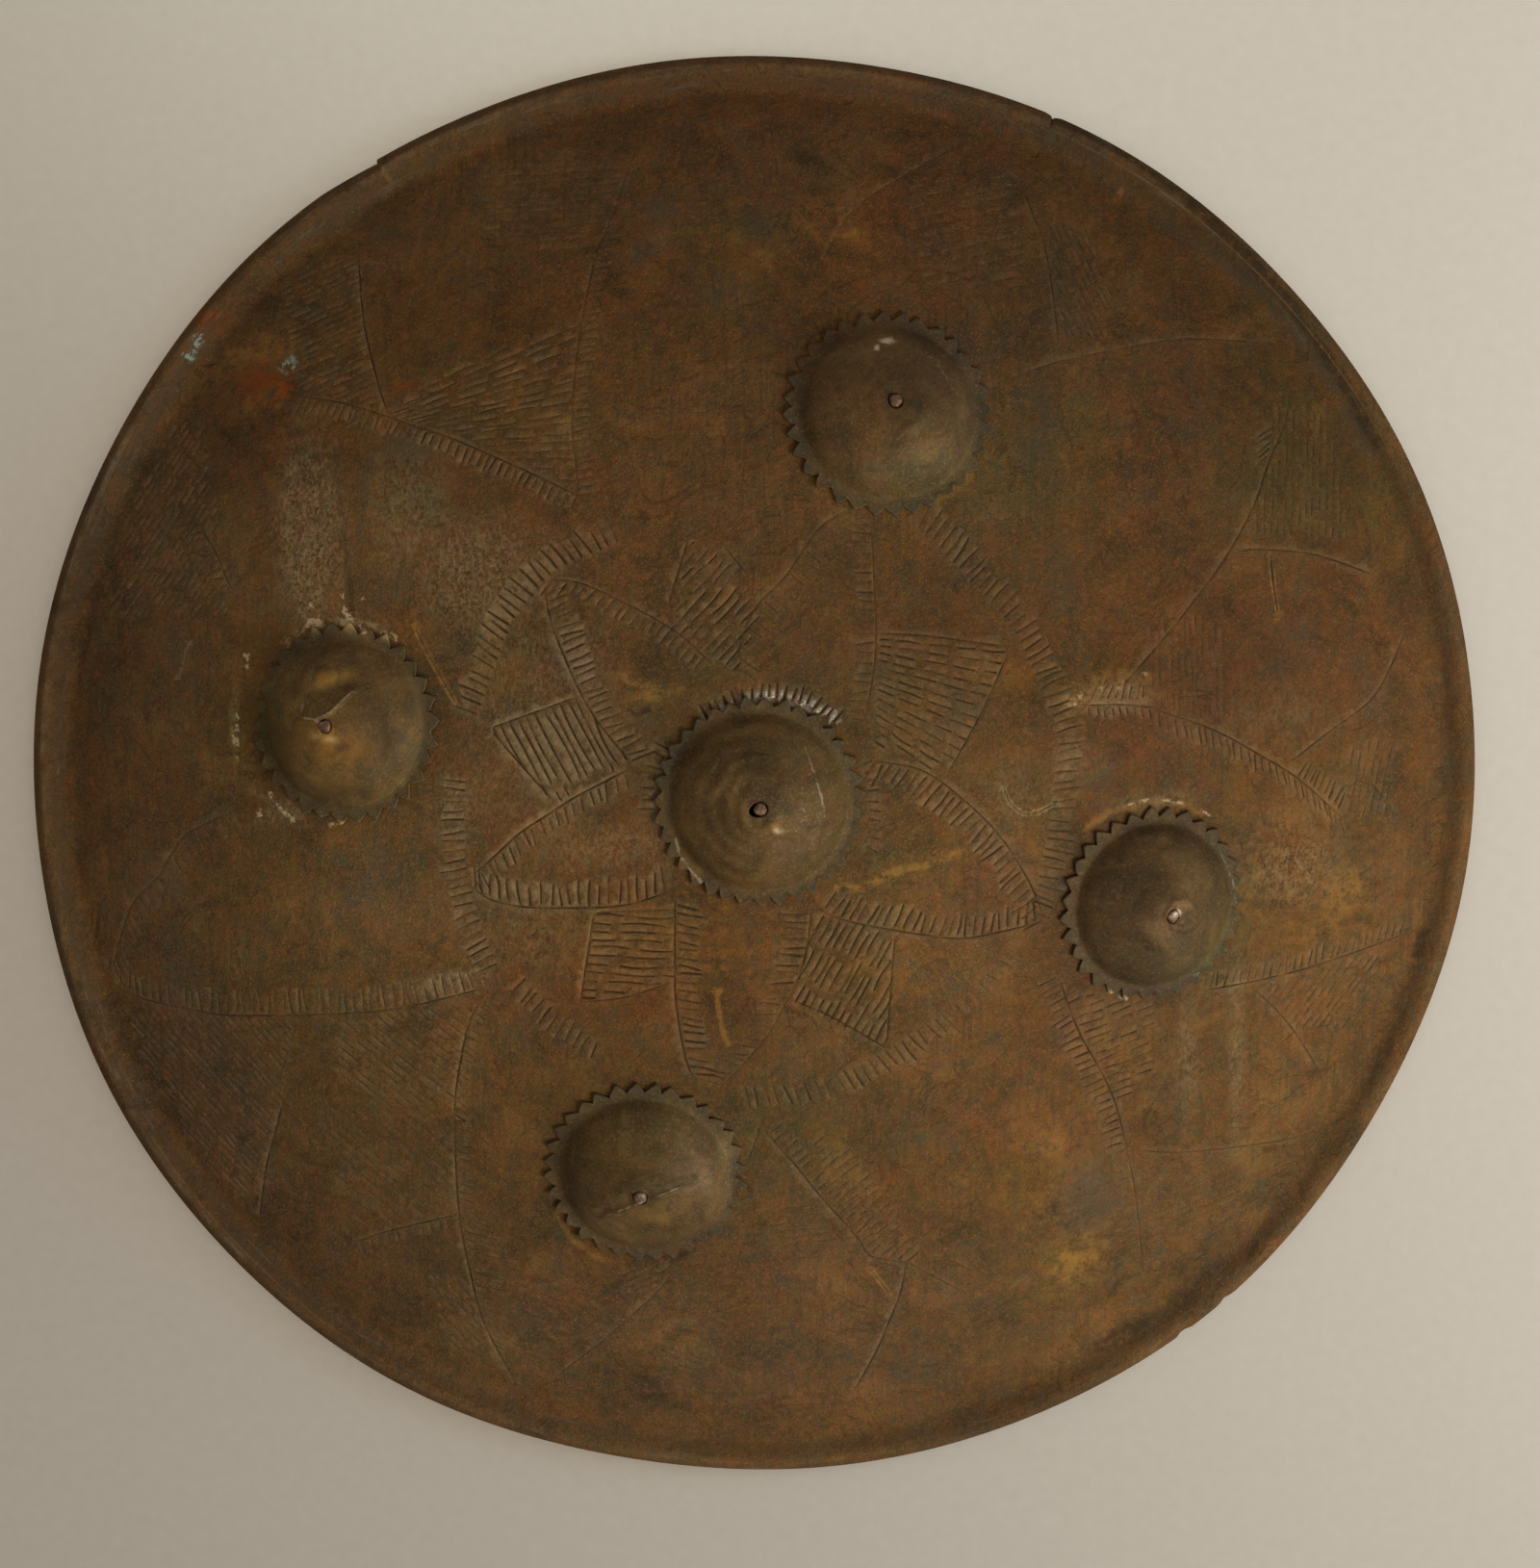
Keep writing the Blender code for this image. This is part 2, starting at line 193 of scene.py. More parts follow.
# How the hand varies: a stroke's bend, depth, width and length, its lean in degrees or radians, the
# gap at its foot, and the spacing along a line and between rows, as ranges of shares
STROKE_BEND = (-0.06, 0.06)
DEPTH_SPREAD = (0.55, 1.25)
WIDTH_SPREAD = (0.8, 1.2)
LENGTH_SPREAD = (0.78, 1.15)
LEAN_SPREAD = (-7, 7)
RADIAL_SPREAD = (-0.12, 0.12)
FOOT_GAP = 0.0005
FOOT_GAP_SPREAD = (0.3, 1.6)
SPACING_SPREAD = (0.85, 1.15)
ROW_SPREAD = (0.88, 1.12)
# Strokes along a row: the part of the first one left out, lengths, tilt, gaps and the shortest one
ROW_START = 0.7
ROW_LENGTH_SPREAD = (0.8, 1.1)
ROW_TILT = (-0.0003, 0.0003)
ROW_GAP = (0.0008, 0.0022)
SHORTEST_STROKE = 0.002
# A groove's depth wanders by about this share over this length
DEPTH_WANDER = 0.9
WANDER_LENGTH = 0.005
# A groove deepens from this share at its ends, this steeply, and is never shallower or deeper than this
END_DEPTH = 0.2
END_STEEPNESS = 7
SHALLOWEST = 0.2
DEEPEST = 1.2
LINE_HALF_WIDTH = 0.00046
LINE_DEPTH = 0.00042
# Metal pushed up along a groove: its height, and how far out it reaches in half-widths
BURR_HEIGHT = 0.00009
BURR_REACH = 2.4
SAMPLE_STEP = 0.0004
STROKE_STATION = 0.0030
STROKE_TIP = 0.12
LINE_STEP = 0.0022
CHASING_SEED = 11
# The plate's mesh: its grid of even triangles, how far grid points are shifted, their room to
# grooves, and its rim
PLATE_GRID = 0.0026
TRIANGLE_HEIGHT = math.sqrt(0.75)
GRID_JITTER = 0.2
GRID_SEED = 5
GROOVE_ROOM = 0.0010
RIM_DIVISIONS = 720
BEAD_STEPS = 8
BACK_STEPS = 17
# Points closer than this become one, in millimetres
MERGE_DISTANCE = 0.002

# A hatching is short strokes that start on a line. Their direction in the photograph, in degrees
# counter-clockwise from the right, turns evenly from the line's start to its end, or is RADIAL,
# away from the middle cap. The width is a share of a full stroke's
Hatching = namedtuple("Hatching", "start end length spacing width")
RADIAL = None
# A line is photo pixels that a smooth curve passes through. An undrawn line only carries strokes
Line = namedtuple("Line", "name strength hatching drawn points")
# A field is rows of strokes inside an outline of photo pixels. Its direction is degrees, or a pixel
# that the rows spread from. A stroke of no given length crosses the whole outline
Field = namedtuple("Field", "name direction spacing length strength width outline")

LINES = [Line(name, strength, hatching and Hatching(*hatching), drawn, points)
         for name, strength, hatching, drawn, *points in (
    ("left petal, upper edge", 1.0, (-60, -82, 0.0062, 0.003, 1.0), True,
        (487, 912), (511, 892), (538, 867), (568, 847), (598, 828), (655, 798)),
    ("left petal, lower edge", 1.1, (93, 93, 0.0082, 0.003, 1.05), True,
        (490, 920), (501, 930), (520, 938), (558, 943), (645, 941), (700, 925)),
    ("upper left petal, upper edge", 0.7, (-130, -130, 0.0056, 0.0028, 0.9), True,
        (567, 603), (600, 605), (650, 627), (703, 657), (745, 695)),
    ("upper left petal, lower edge", 0.9, (22, 22, 0.0082, 0.0026, 1.0), True,
        (566, 612), (571, 641), (585, 680), (613, 738), (655, 793)),
    ("top petal, left edge", 0.5, (-38, -38, 0.0078, 0.003, 0.8), True,
        (885, 527), (850, 550), (815, 600), (790, 625), (775, 650), (762, 695)),
    ("top petal, right edge", 0.6, (178, 182, 0.0062, 0.0029, 0.85), True,
        (905, 540), (908, 600), (910, 650), (908, 695), (898, 750)),
    ("right petal, upper edge", 0.9, (-122, -148, 0.0086, 0.0028, 1.0), True,
        (905, 790), (957, 800), (1000, 830), (1040, 870), (1070, 918), (1085, 955)),
    ("right petal, lower edge", 1.1, (52, 92, 0.008, 0.0028, 1.05), True,
        (850, 945), (885, 958), (957, 971), (1000, 975), (1045, 967), (1083, 957)),
    ("bottom petal, left edge", 1.0, (-8, -8, 0.0086, 0.0027, 1.05), True,
        (701, 935), (701, 995), (702, 1040), (712, 1100), (722, 1122)),
    ("bottom petal, right edge", 0.9, (177, 177, 0.0085, 0.0027, 1.0), True,
        (843, 945), (841, 965), (836, 995), (826, 1025)),
    ("bottom petal, right edge below", 0.55, (177, 165, 0.008, 0.0027, 0.8), True,
        (826, 1025), (811, 1052), (798, 1075), (768, 1110), (748, 1130)),
    ("ring, upper left", 1.0, (RADIAL, RADIAL, 0.0092, 0.0028, 1.1), False,
        (648, 565), (617, 578), (577, 597), (552, 627), (532, 654), (509, 718), (500, 745)),
    ("ring, left", 0.9, (RADIAL, RADIAL, 0.0092, 0.0028, 1.0), False,
        (488, 808), (486, 870), (491, 920), (503, 960), (520, 1000)),
    ("ring, lower left", 0.9, (228, 250, 0.0078, 0.0029, 1.0), False,
        (545, 1010), (570, 1040), (600, 1062), (625, 1085)),
    ("ring, bottom", 0.8, (-74, -46, 0.0084, 0.0029, 1.0), False,
        (768, 1126), (800, 1126), (857, 1116), (908, 1094), (956, 1065), (980, 1050)),
    ("ring, lower right", 0.5, (-50, -25, 0.0068, 0.003, 0.9), False,
        (985, 1045), (1020, 1015), (1048, 980)),
    ("ring, right", 0.85, (RADIAL, RADIAL, 0.0094, 0.0028, 1.0), False,
        (950, 548), (1000, 600), (1045, 650), (1080, 720), (1095, 775), (1090, 830), (1080, 895),
        (1068, 950)),
    ("strokes above the middle cap", 1.3, (RADIAL, RADIAL, 0.005, 0.0023, 1.1), False,
        (733, 751), (765, 733), (800, 727), (835, 733), (868, 753)),
    ("strokes left of the middle cap", 1.0, (RADIAL, RADIAL, 0.006, 0.003, 1.0), False,
        (700, 775), (684, 815), (682, 850)),
    ("strokes right of the middle cap", 0.8, (RADIAL, RADIAL, 0.0044, 0.0028, 0.9), False,
        (893, 790), (900, 830), (897, 885)),
    ("quad left of the middle, top", 0.9, None, True, (508, 757), (600, 724)),
    ("quad left of the middle, left", 1.2, None, True, (508, 757), (577, 835)),
    ("quad below left, sides", 1.0, None, True, (617, 948), (603, 1041)),
    ("quad below left, bottom", 0.7, None, True, (603, 1041), (650, 1036), (700, 1020)),
    ("quad below left, top", 0.6, None, True, (617, 948), (702, 945)),
    ("quad below right, bottom", 1.1, None, True, (823, 1039), (863, 1056), (921, 1089)),
    ("quad below right, side", 0.9, None, True, (921, 1089), (930, 975), (937, 968)),
    ("quad above right, top", 0.9, None, True, (912, 658), (965, 661), (1045, 672)),
    ("quad above right, side", 0.8, None, True, (1050, 672), (1020, 740), (982, 808)),
    ("quad above, left", 0.7, None, True, (715, 560), (694, 629)),
    ("quad above, right", 0.6, None, True, (748, 562), (779, 600)),
    ("upper left leaf, lower edge", 0.6, (-112, -116, 0.0056, 0.0022, 0.6), True,
        (312, 412), (357, 419), (400, 432), (440, 446)),
    ("upper left leaf, lower edge at the ring", 0.8, (-116, -116, 0.0052, 0.0025, 0.8), True,
        (440, 446), (473, 457), (548, 490), (600, 515)),
    ("upper left upright", 0.5, (8, 12, 0.0055, 0.0024, 0.55), True,
        (620, 260), (606, 325), (598, 380), (594, 440), (598, 480), (601, 515)),
    ("upper left upright, top", 0.28, (5, 8, 0.0036, 0.0026, 0.5), True,
        (662, 150), (648, 190), (636, 225), (620, 260)),
    ("far upper left edge", 0.9, None, True,
        (372, 262), (378, 335), (390, 388), (396, 410), (405, 432)),
    ("left rim hook", 0.7, (200, 200, 0.004, 0.0026, 0.6), True,
        (207, 540), (212, 555), (222, 570), (230, 587), (237, 605), (245, 617)),
    ("left leaf, upper edge", 0.42, (-68, -58, 0.0074, 0.0028, 0.7), True,
        (248, 840), (211, 857), (188, 872), (163, 912), (136, 942), (115, 1010)),
    ("left leaf, lower edge", 0.6, (92, 96, 0.008, 0.0025, 0.75), True,
        (106, 1017), (148, 1037), (201, 1049), (250, 1055), (375, 1052), (430, 1045)),
    ("left leaf, lower edge at the ring", 0.95, (100, 112, 0.0072, 0.003, 0.75), True,
        (430, 1045), (470, 1035), (498, 1028)),
    ("lower left upright", 0.9, (-35, -35, 0.0042, 0.0026, 0.7), True,
        (498, 1040), (485, 1070), (474, 1130), (472, 1160)),
    ("lower left upright, below", 0.8, (-12, -30, 0.0045, 0.0026, 0.55), True,
        (472, 1160), (474, 1220), (478, 1270), (488, 1320), (503, 1375), (540, 1445)),
    ("lower left short line", 0.9, None, True,
        (295, 1140), (285, 1180), (277, 1210), (272, 1245), (268, 1280)),
    ("lower left cross line", 0.6, (-80, -80, 0.005, 0.003, 0.55), True,
        (370, 1290), (400, 1280), (440, 1270), (475, 1262)),
    ("bottom left sweep", 0.5, None, True,
        (703, 1318), (680, 1345), (650, 1372), (615, 1402), (575, 1432)),
    ("bottom right sweep", 0.3, None, True,
        (702, 1330), (715, 1355), (735, 1385), (755, 1425), (780, 1460)),
    ("under the bottom cap", 0.8, (38, 44, 0.0065, 0.0028, 0.7), True,
        (795, 1175), (830, 1215), (850, 1240), (890, 1285), (905, 1305), (945, 1312)),
    ("bottom upright", 1.0, None, True,
        (942, 1310), (935, 1345), (925, 1370), (910, 1405), (885, 1450)),
    ("bottom faint line", 0.5, None, True, (940, 1310), (1000, 1342)),
    ("lower right leaf edge", 1.0, (212, 200, 0.0066, 0.0026, 0.85), True,
        (1098, 1010), (1120, 1070), (1145, 1115), (1160, 1150), (1170, 1190)),
    ("lower right leaf edge, below", 0.5, (198, 198, 0.005, 0.003, 0.45), True,
        (1170, 1190), (1178, 1230), (1184, 1275), (1188, 1330)),
    ("lower right leaf edge, right", 0.9, (20, 22, 0.0062, 0.0028, 0.85), False,
        (1105, 1040), (1133, 1090), (1158, 1145)),
    ("lower right cross line", 0.6, None, True,
        (1180, 1195), (1230, 1197), (1320, 1187), (1365, 1178)),
    ("right leaf, lower edge", 0.9, (78, 82, 0.0058, 0.0024, 0.65), True,
        (1245, 1030), (1300, 1020), (1350, 1008), (1400, 992), (1460, 970)),
    ("right short line", 0.8, None, True,
        (1303, 1028), (1325, 1048), (1345, 1072), (1360, 1095), (1370, 1112)),
    ("right stem", 0.8, None, True,
        (1340, 405), (1335, 440), (1318, 480), (1305, 520), (1278, 572), (1240, 625), (1195, 680),
        (1155, 725)),
    ("dark strokes on the right stem", 0.9, (215, 215, 0.0062, 0.0022, 0.8), False,
        (1326, 438), (1318, 475)),
    ("right arc", 0.9, None, True, (1278, 577), (1295, 571), (1345, 573), (1380, 580), (1435, 600)),
    ("right stub", 0.8, None, True, (1320, 572), (1322, 600), (1328, 640)),
    ("right leaf, tip", 1.0, (-88, -80, 0.0034, 0.0022, 0.8), True,
        (1128, 733), (1165, 732), (1200, 735)),
    ("right leaf, tip above", 0.9, (60, 85, 0.0058, 0.0024, 0.8), False,
        (1128, 730), (1160, 728), (1195, 728)),
    ("right leaf, upper edge", 0.9, (-80, -78, 0.0058, 0.0025, 0.8), True,
        (1200, 737), (1260, 758), (1310, 785), (1350, 810), (1395, 850)),
    ("right leaf, above its edge", 1.0, (62, 66, 0.0066, 0.0022, 0.9), False,
        (1345, 806), (1365, 820), (1392, 844)),
    ("right leaf vein", 0.8, None, True,
        (1335, 795), (1352, 783), (1368, 770), (1385, 757), (1430, 720), (1463, 650)),
    ("top right arc", 0.55, None, True,
        (1050, 394), (1100, 376), (1200, 356), (1250, 352), (1335, 358)),
    ("top right upright", 0.6, None, True,
        (1062, 195), (1080, 240), (1090, 280), (1098, 340), (1100, 365)),
    ("top curve", 0.38, None, True, (1000, 148), (935, 185), (885, 220), (850, 280)),
    ("scratch by the left cap", 0.6, None, True, (430, 650), (450, 690), (475, 733)),
    ("scratch at the bottom", 0.9, None, True, (903, 1318), (925, 1345)),
    ("scratch beside the bottom cap", 0.7, None, True, (790, 1168), (785, 1185), (775, 1210)),
    ("curl right of the middle", 0.6, None, True,
        (1042, 817), (1050, 835), (1063, 845), (1078, 844), (1100, 832)),
)]
FIELDS = [Field(name, direction, spacing, length, strength, width, outline)
          for name, direction, spacing, length, strength, width, *outline in (
    ("quad left of the middle", -62, 0.0025, None, 1.35, 1.0,
        (508, 757), (600, 724), (655, 790), (577, 835)),
    ("quad below left", -2, 0.0026, 0.015, 1.2, 1.0,
        (617, 948), (702, 945), (700, 1020), (603, 1041)),
    ("quad below right", 62, 0.0026, 0.0115, 1.2, 1.0,
        (848, 948), (934, 968), (921, 1088), (822, 1040)),
    ("quad above", 47, 0.0026, 0.014, 1.0, 0.85,
        (715, 558), (770, 590), (790, 640), (765, 700), (698, 655)),
    ("quad above right", (746, 646), 0.003, 0.008, 1.1, 0.95,
        (914, 660), (1047, 674), (1015, 750), (982, 805), (908, 775)),
    ("upper left fan", (307, 470), 0.0022, 0.011, 0.7, 0.52,
        (405, 432), (450, 395), (500, 370), (600, 335), (598, 505), (548, 484), (473, 450)),
    ("upper left triangle", 25, 0.0019, 0.007, 0.62, 0.48,
        (290, 290), (375, 262), (384, 360), (400, 425), (310, 405), (300, 350)),
    ("upper left faint rows", 4, 0.0023, 0.0085, 0.4, 0.45,
        (500, 170), (650, 170), (615, 260), (500, 260)),
    ("left rim rows", 57, 0.0019, 0.0055, 0.6, 0.46,
        (125, 430), (215, 440), (220, 500), (235, 560), (245, 640), (110, 640), (105, 520)),
    ("lower left rows", -48, 0.0019, 0.0075, 0.72, 0.5,
        (112, 1045), (310, 1060), (300, 1130), (285, 1190), (270, 1250), (215, 1235), (160, 1160)),
    ("below the left leaf", -38, 0.0026, 0.0085, 0.8, 0.65,
        (352, 1060), (494, 1040), (476, 1140), (400, 1152), (352, 1120)),
    ("lower left band", -40, 0.0028, 0.008, 0.5, 0.6,
        (330, 1150), (470, 1150), (470, 1255), (360, 1280)),
    ("lower left steep rows", -50, 0.0022, 0.006, 0.7, 0.5,
        (445, 1320), (500, 1330), (505, 1395), (470, 1410)),
    ("lower left short rows", -12, 0.002, 0.005, 0.8, 0.5,
        (486, 1262), (525, 1280), (527, 1345), (495, 1335)),
    ("under the bottom cap, right", 41, 0.0028, 0.007, 0.7, 0.65,
        (840, 1180), (875, 1180), (925, 1250), (960, 1312), (915, 1290), (860, 1225)),
    ("beside the bottom cap", 6, 0.0024, 0.008, 0.5, 0.45,
        (765, 1255), (880, 1250), (900, 1310), (770, 1305)),
    ("below the bottom cap", 28, 0.002, 0.005, 0.8, 0.5,
        (648, 1318), (700, 1312), (698, 1340), (650, 1348)),
    ("lower right leaf", 20, 0.0028, 0.0075, 0.85, 0.8,
        (1125, 1030), (1200, 1040), (1200, 1105), (1180, 1140), (1155, 1105)),
    ("lower right rows", 20, 0.0028, 0.008, 0.4, 0.5,
        (1190, 1205), (1350, 1195), (1290, 1300), (1195, 1310)),
    ("above the right leaf", 92, 0.0019, 0.009, 0.6, 0.45,
        (1195, 640), (1268, 640), (1275, 752), (1195, 732)),
    ("right of the vein", 78, 0.0024, 0.0065, 0.8, 0.65,
        (1398, 775), (1445, 765), (1450, 850), (1402, 855)),
    ("top right fan", -64, 0.002, 0.007, 0.8, 0.5,
        (1085, 230), (1130, 235), (1155, 300), (1152, 350), (1105, 350), (1095, 290)),
    ("top right rows", 12, 0.003, 0.008, 0.4, 0.5,
        (940, 190), (1050, 180), (1070, 300), (960, 300)),
    ("right rim rows", 88, 0.0021, 0.0075, 0.7, 0.5,
        (1325, 420), (1388, 430), (1402, 560), (1300, 555)),
    ("lower right rim rows", 53, 0.0023, 0.0065, 0.8, 0.55,
        (1312, 1024), (1400, 998), (1440, 986), (1405, 1070), (1345, 1066)),
    ("bottom rows", -20, 0.003, 0.008, 0.4, 0.5,
        (500, 1300), (600, 1300), (640, 1380), (540, 1420)),
    ("bottom faint rows", -18, 0.0024, 0.007, 0.5, 0.5,
        (680, 1395), (745, 1395), (750, 1440), (690, 1445)),
)]

# Soft patches by kind: middle and half-size in photo pixels, strength, turn in degrees. The first ten
# kinds are stains and rubbed places, where the strongest patch counts; some of them also carry painted
# light, as said at each kind. The last three add up and may be below zero: the first of them lightens or
# darkens a surface, mostly as painted light and shade, and the other two turn its hue
Patch = namedtuple("Patch", "x y half_width half_height strength turn", defaults=(0,))
SHIFT_KINDS = ("painted_light_and_tone", "red", "yellow")
PATCHES = {
    "bloom": (
        (220, 332, 12, 20, 0.8, 20), (205, 348, 12, 10, 0.5), (268, 396, 22, 20, 0.7),
        (290, 402, 16, 16, 0.9), (420, 402, 22, 8, 0.5, 10), (734, 990, 8, 40, 0.2),
        (545, 865, 60, 20, 0.3, 20), (610, 1470, 90, 14, 0.2, -10),
    ),
    "verdigris": (
        (205, 354, 7, 9, 1.2, -40), (197, 368, 8, 8, 1.2), (299, 378, 10, 9, 1.2, 20),
        (655, 743, 7, 5, 0.6), (505, 945, 6, 5, 0.7),
    ),
    "grey": (
        (420, 465, 34, 20, 0.7, 10), (480, 440, 60, 14, 0.5, -10), (1120, 690, 16, 22, 0.6),
        (1100, 600, 22, 40, 0.6, 10), (1140, 800, 18, 22, 0.6), (1060, 810, 26, 24, 0.5),
        (1140, 1250, 26, 34, 0.8, -20), (175, 400, 12, 30, 0.6, -35), (1345, 655, 22, 12, 0.7),
        (1330, 690, 16, 8, 0.7), (1320, 305, 14, 60, 0.7, 40), (1410, 440, 10, 34, 0.9, 30),
        (1095, 140, 34, 10, 0.7, -20), (1124, 1244, 30, 44, 0.75, -20), (430, 465, 24, 14, 1.0),
        (445, 515, 14, 30, 0.8), (400, 610, 30, 20, 0.5), (685, 220, 15, 18, 1.1),
        (668, 262, 22, 10, 1.0, 35), (786, 236, 20, 18, 1.0), (755, 305, 26, 20, 1.1),
        (1100, 290, 24, 60, 0.6), (1080, 450, 20, 50, 0.7), (440, 745, 22, 70, 0.4),
        (930, 484, 46, 20, 0.3),
    ),
    "wear": (
        (322, 550, 34, 92, 0.8), (316, 600, 22, 36, 1.1), (425, 530, 50, 66, 0.45),
        (500, 600, 62, 62, 0.7), (1345, 900, 50, 40, 0.6), (300, 840, 40, 10, 0.6, 25),
        (590, 690, 50, 60, 0.45), (560, 960, 90, 70, 0.3), (640, 880, 90, 30, 0.4),
        (560, 760, 90, 130, 0.4), (530, 680, 50, 60, 0.35), (480, 830, 40, 50, 0.4),
        (470, 1020, 50, 16, 0.5, 8), (1155, 722, 40, 16, 0.7), (1110, 1235, 60, 90, 0.16, 20),
        (1235, 1100, 14, 90, 0.4), (1285, 1090, 10, 110, 0.4), (1340, 880, 60, 70, 0.35),
        (1045, 830, 60, 60, 0.3), (1120, 790, 40, 30, 0.3), (1330, 735, 60, 34, 0.3),
        (1200, 832, 50, 10, 0.5, 5),
    ),
    "ochre": (
        (268, 366, 40, 16, 0.7, 10), (262, 420, 36, 12, 0.4, 10), (858, 508, 10, 8, 1.0),
        (990, 507, 11, 7, 1.2, 20), (1006, 490, 9, 6, 1.0, 40), (978, 519, 9, 5, 0.9, 20),
        (796, 270, 16, 9, 0.6, -25), (885, 240, 16, 13, 0.6), (835, 232, 30, 9, 0.4, -35),
        (1395, 925, 24, 30, 0.9), (735, 985, 240, 80, 0.25), (1158, 718, 46, 18, 0.9, 8),
        (1118, 1310, 34, 24, 0.8, 40), (1085, 1190, 30, 16, 0.7, 10), (1090, 1215, 70, 90, 0.3),
        (760, 250, 90, 18, 0.25), (930, 290, 60, 14, 0.25), (1370, 960, 60, 120, 0.35),
        (1170, 1080, 50, 60, 0.45), (770, 1000, 50, 60, 0.25), (870, 1205, 20, 30, 0.45),
        (655, 706, 16, 4, 1.3, -8), (678, 722, 24, 6, 1.2, 14), (1300, 920, 30, 60, 0.35),
    ),
    # Stains and soot, and painted shade: on the caps' upper left sides, in the rim's hollow at the right
    # and in broad patches on the plate
    "dark": (
        (925, 178, 24, 10, 0.7, -30), (740, 204, 22, 7, 0.8, -52), (838, 166, 26, 9, 0.8, -30),
        (838, 196, 40, 7, 0.5, -20), (718, 258, 8, 14, 0.6), (320, 690, 46, 34, 0.55, 30),
        (405, 765, 30, 56, 0.5), (295, 790, 26, 40, 0.5), (350, 828, 50, 16, 0.55),
        (1170, 910, 36, 46, 0.45), (1200, 860, 50, 14, 0.5), (930, 395, 30, 24, 0.35),
        (790, 790, 40, 20, 0.3), (932, 412, 24, 20, 0.45), (590, 200, 90, 50, 0.3),
        (1110, 280, 40, 50, 0.45), (200, 500, 40, 120, 0.3, -15), (1235, 1338, 50, 12, 0.55, 38),
        (1170, 1385, 50, 12, 0.8, 28), (1300, 1300, 36, 9, 0.5, 42), (1474, 990, 7, 44, 0.8, -15),
        (1440, 1090, 8, 50, 0.5, -25), (1506, 700, 6, 90, 0.4), (505, 1310, 16, 40, 0.4),
        (1225, 1445, 90, 8, 0.3, 30), (1218, 872, 26, 14, 0.6, 10), (326, 727, 15, 11, 0.8, 30),
    ),
    # Rubbed golden brass, and painted highlights: the tight spots by the left cap's pin and on its dent
    # stand for glints
    "gold_and_glint": (
        (806, 862, 9, 6, 0.5), (342, 766, 12, 12, 1.3), (344, 704, 24, 9, 0.7, 15),
        (345, 785, 46, 34, 0.5), (335, 775, 16, 14, 0.5), (690, 1262, 46, 22, 0.3, 15),
        (780, 905, 60, 24, 0.2),
    ),
    # Bare bright metal, and painted glints: the spots on the top cap and on the pins stand for glints
    "bare": (
        (808, 863, 5, 4, 0.8), (922, 354, 7, 3, 1.6), (911, 361, 3, 3, 1.5), (668, 1239, 5, 4, 0.5),
        (1224, 948, 4, 4, 0.9), (331, 750, 3, 3, 0.7), (975, 380, 10, 4, 0.2, 60),
    ),
    "shine": (),
    # Painted glints on polished specks beside the caps' teeth and by the left cap's pin
    "cream": (
        (343, 768, 6, 3, 0.9), (328, 765, 5, 3, 0.4), (327, 647, 7, 7, 0.9), (366, 645, 10, 9, 0.9),
        (404, 660, 8, 5, 0.8, -20), (244, 762, 5, 12, 0.9), (1118, 729, 10, 5, 1.0, 10),
        (1140, 717, 12, 5, 0.8, 10), (1166, 712, 8, 6, 0.8), (1190, 703, 9, 4, 0.7, 20),
    ),
    # Mostly painted light and shade: broad areas lightened or darkened as the light falls, and painted
    # highlights and shade on the caps; a few are the iron's own paler tone
    "painted_light_and_tone": (
        (1110, 200, 190, 90, -0.26, -25), (1310, 410, 200, 110, -0.3, -62), (1190, 630, 100, 100, -0.22),
        (730, 105, 240, 45, -0.17), (330, 1350, 230, 50, -0.3, -38), (150, 1180, 90, 60, -0.14, -60),
        (640, 1140, 110, 50, -0.12), (1190, 1060, 50, 110, -0.18), (1060, 1470, 120, 34, -0.22, 15),
        (380, 580, 100, 120, 0.38), (380, 920, 100, 120, 0.4), (630, 520, 110, 90, 0.2),
        (560, 860, 120, 80, 0.14), (950, 920, 90, 110, 0.15), (585, 880, 34, 26, 0.2),
        (1310, 1120, 26, 80, 0.2), (85, 760, 40, 300, -0.16), (240, 670, 70, 90, 0.18),
        (690, 1235, 40, 34, -0.44), (365, 785, 36, 36, -0.25), (1210, 920, 70, 60, -0.15),
        (975, 410, 40, 50, -0.2), (315, 720, 30, 36, 0.3), (905, 480, 50, 20, 0.14),
        (850, 380, 120, 160, -0.1), (330, 170, 160, 40, -0.14, 35), (754, 1212, 11, 46, 0.4, -12),
        (672, 1178, 46, 14, 0.22, 8), (650, 1268, 40, 14, 0.18, 12), (612, 1230, 18, 40, -0.14, 10),
        (946, 424, 22, 16, -0.22, -20), (900, 440, 18, 26, 0.18, 20), (1112, 1300, 24, 20, 0.12, 30),
        (284, 745, 18, 60, -0.22), (860, 745, 40, 24, -0.18, -30), (1080, 340, 120, 100, -0.08),
        (640, 620, 90, 60, 0.09), (500, 700, 40, 50, 0.12), (280, 400, 50, 30, 0.1),
        (450, 1000, 150, 60, 0.08), (590, 700, 30, 50, -0.1), (520, 600, 50, 26, -0.14),
        (395, 760, 26, 60, -0.14), (960, 660, 110, 40, -0.1), (1270, 735, 60, 30, -0.16),
        (1380, 500, 40, 60, -0.12), (210, 1150, 60, 90, -0.12, -30), (470, 1320, 90, 50, -0.12, -20),
        (660, 1290, 70, 30, -0.12), (700, 1440, 120, 30, -0.1), (780, 1080, 40, 50, -0.12),
        (1180, 1000, 70, 50, -0.12), (360, 150, 80, 24, -0.16, 35), (200, 270, 80, 30, -0.12, 50),
        (280, 700, 60, 30, 0.14), (770, 810, 30, 24, 0.14), (950, 810, 30, 50, 0.12),
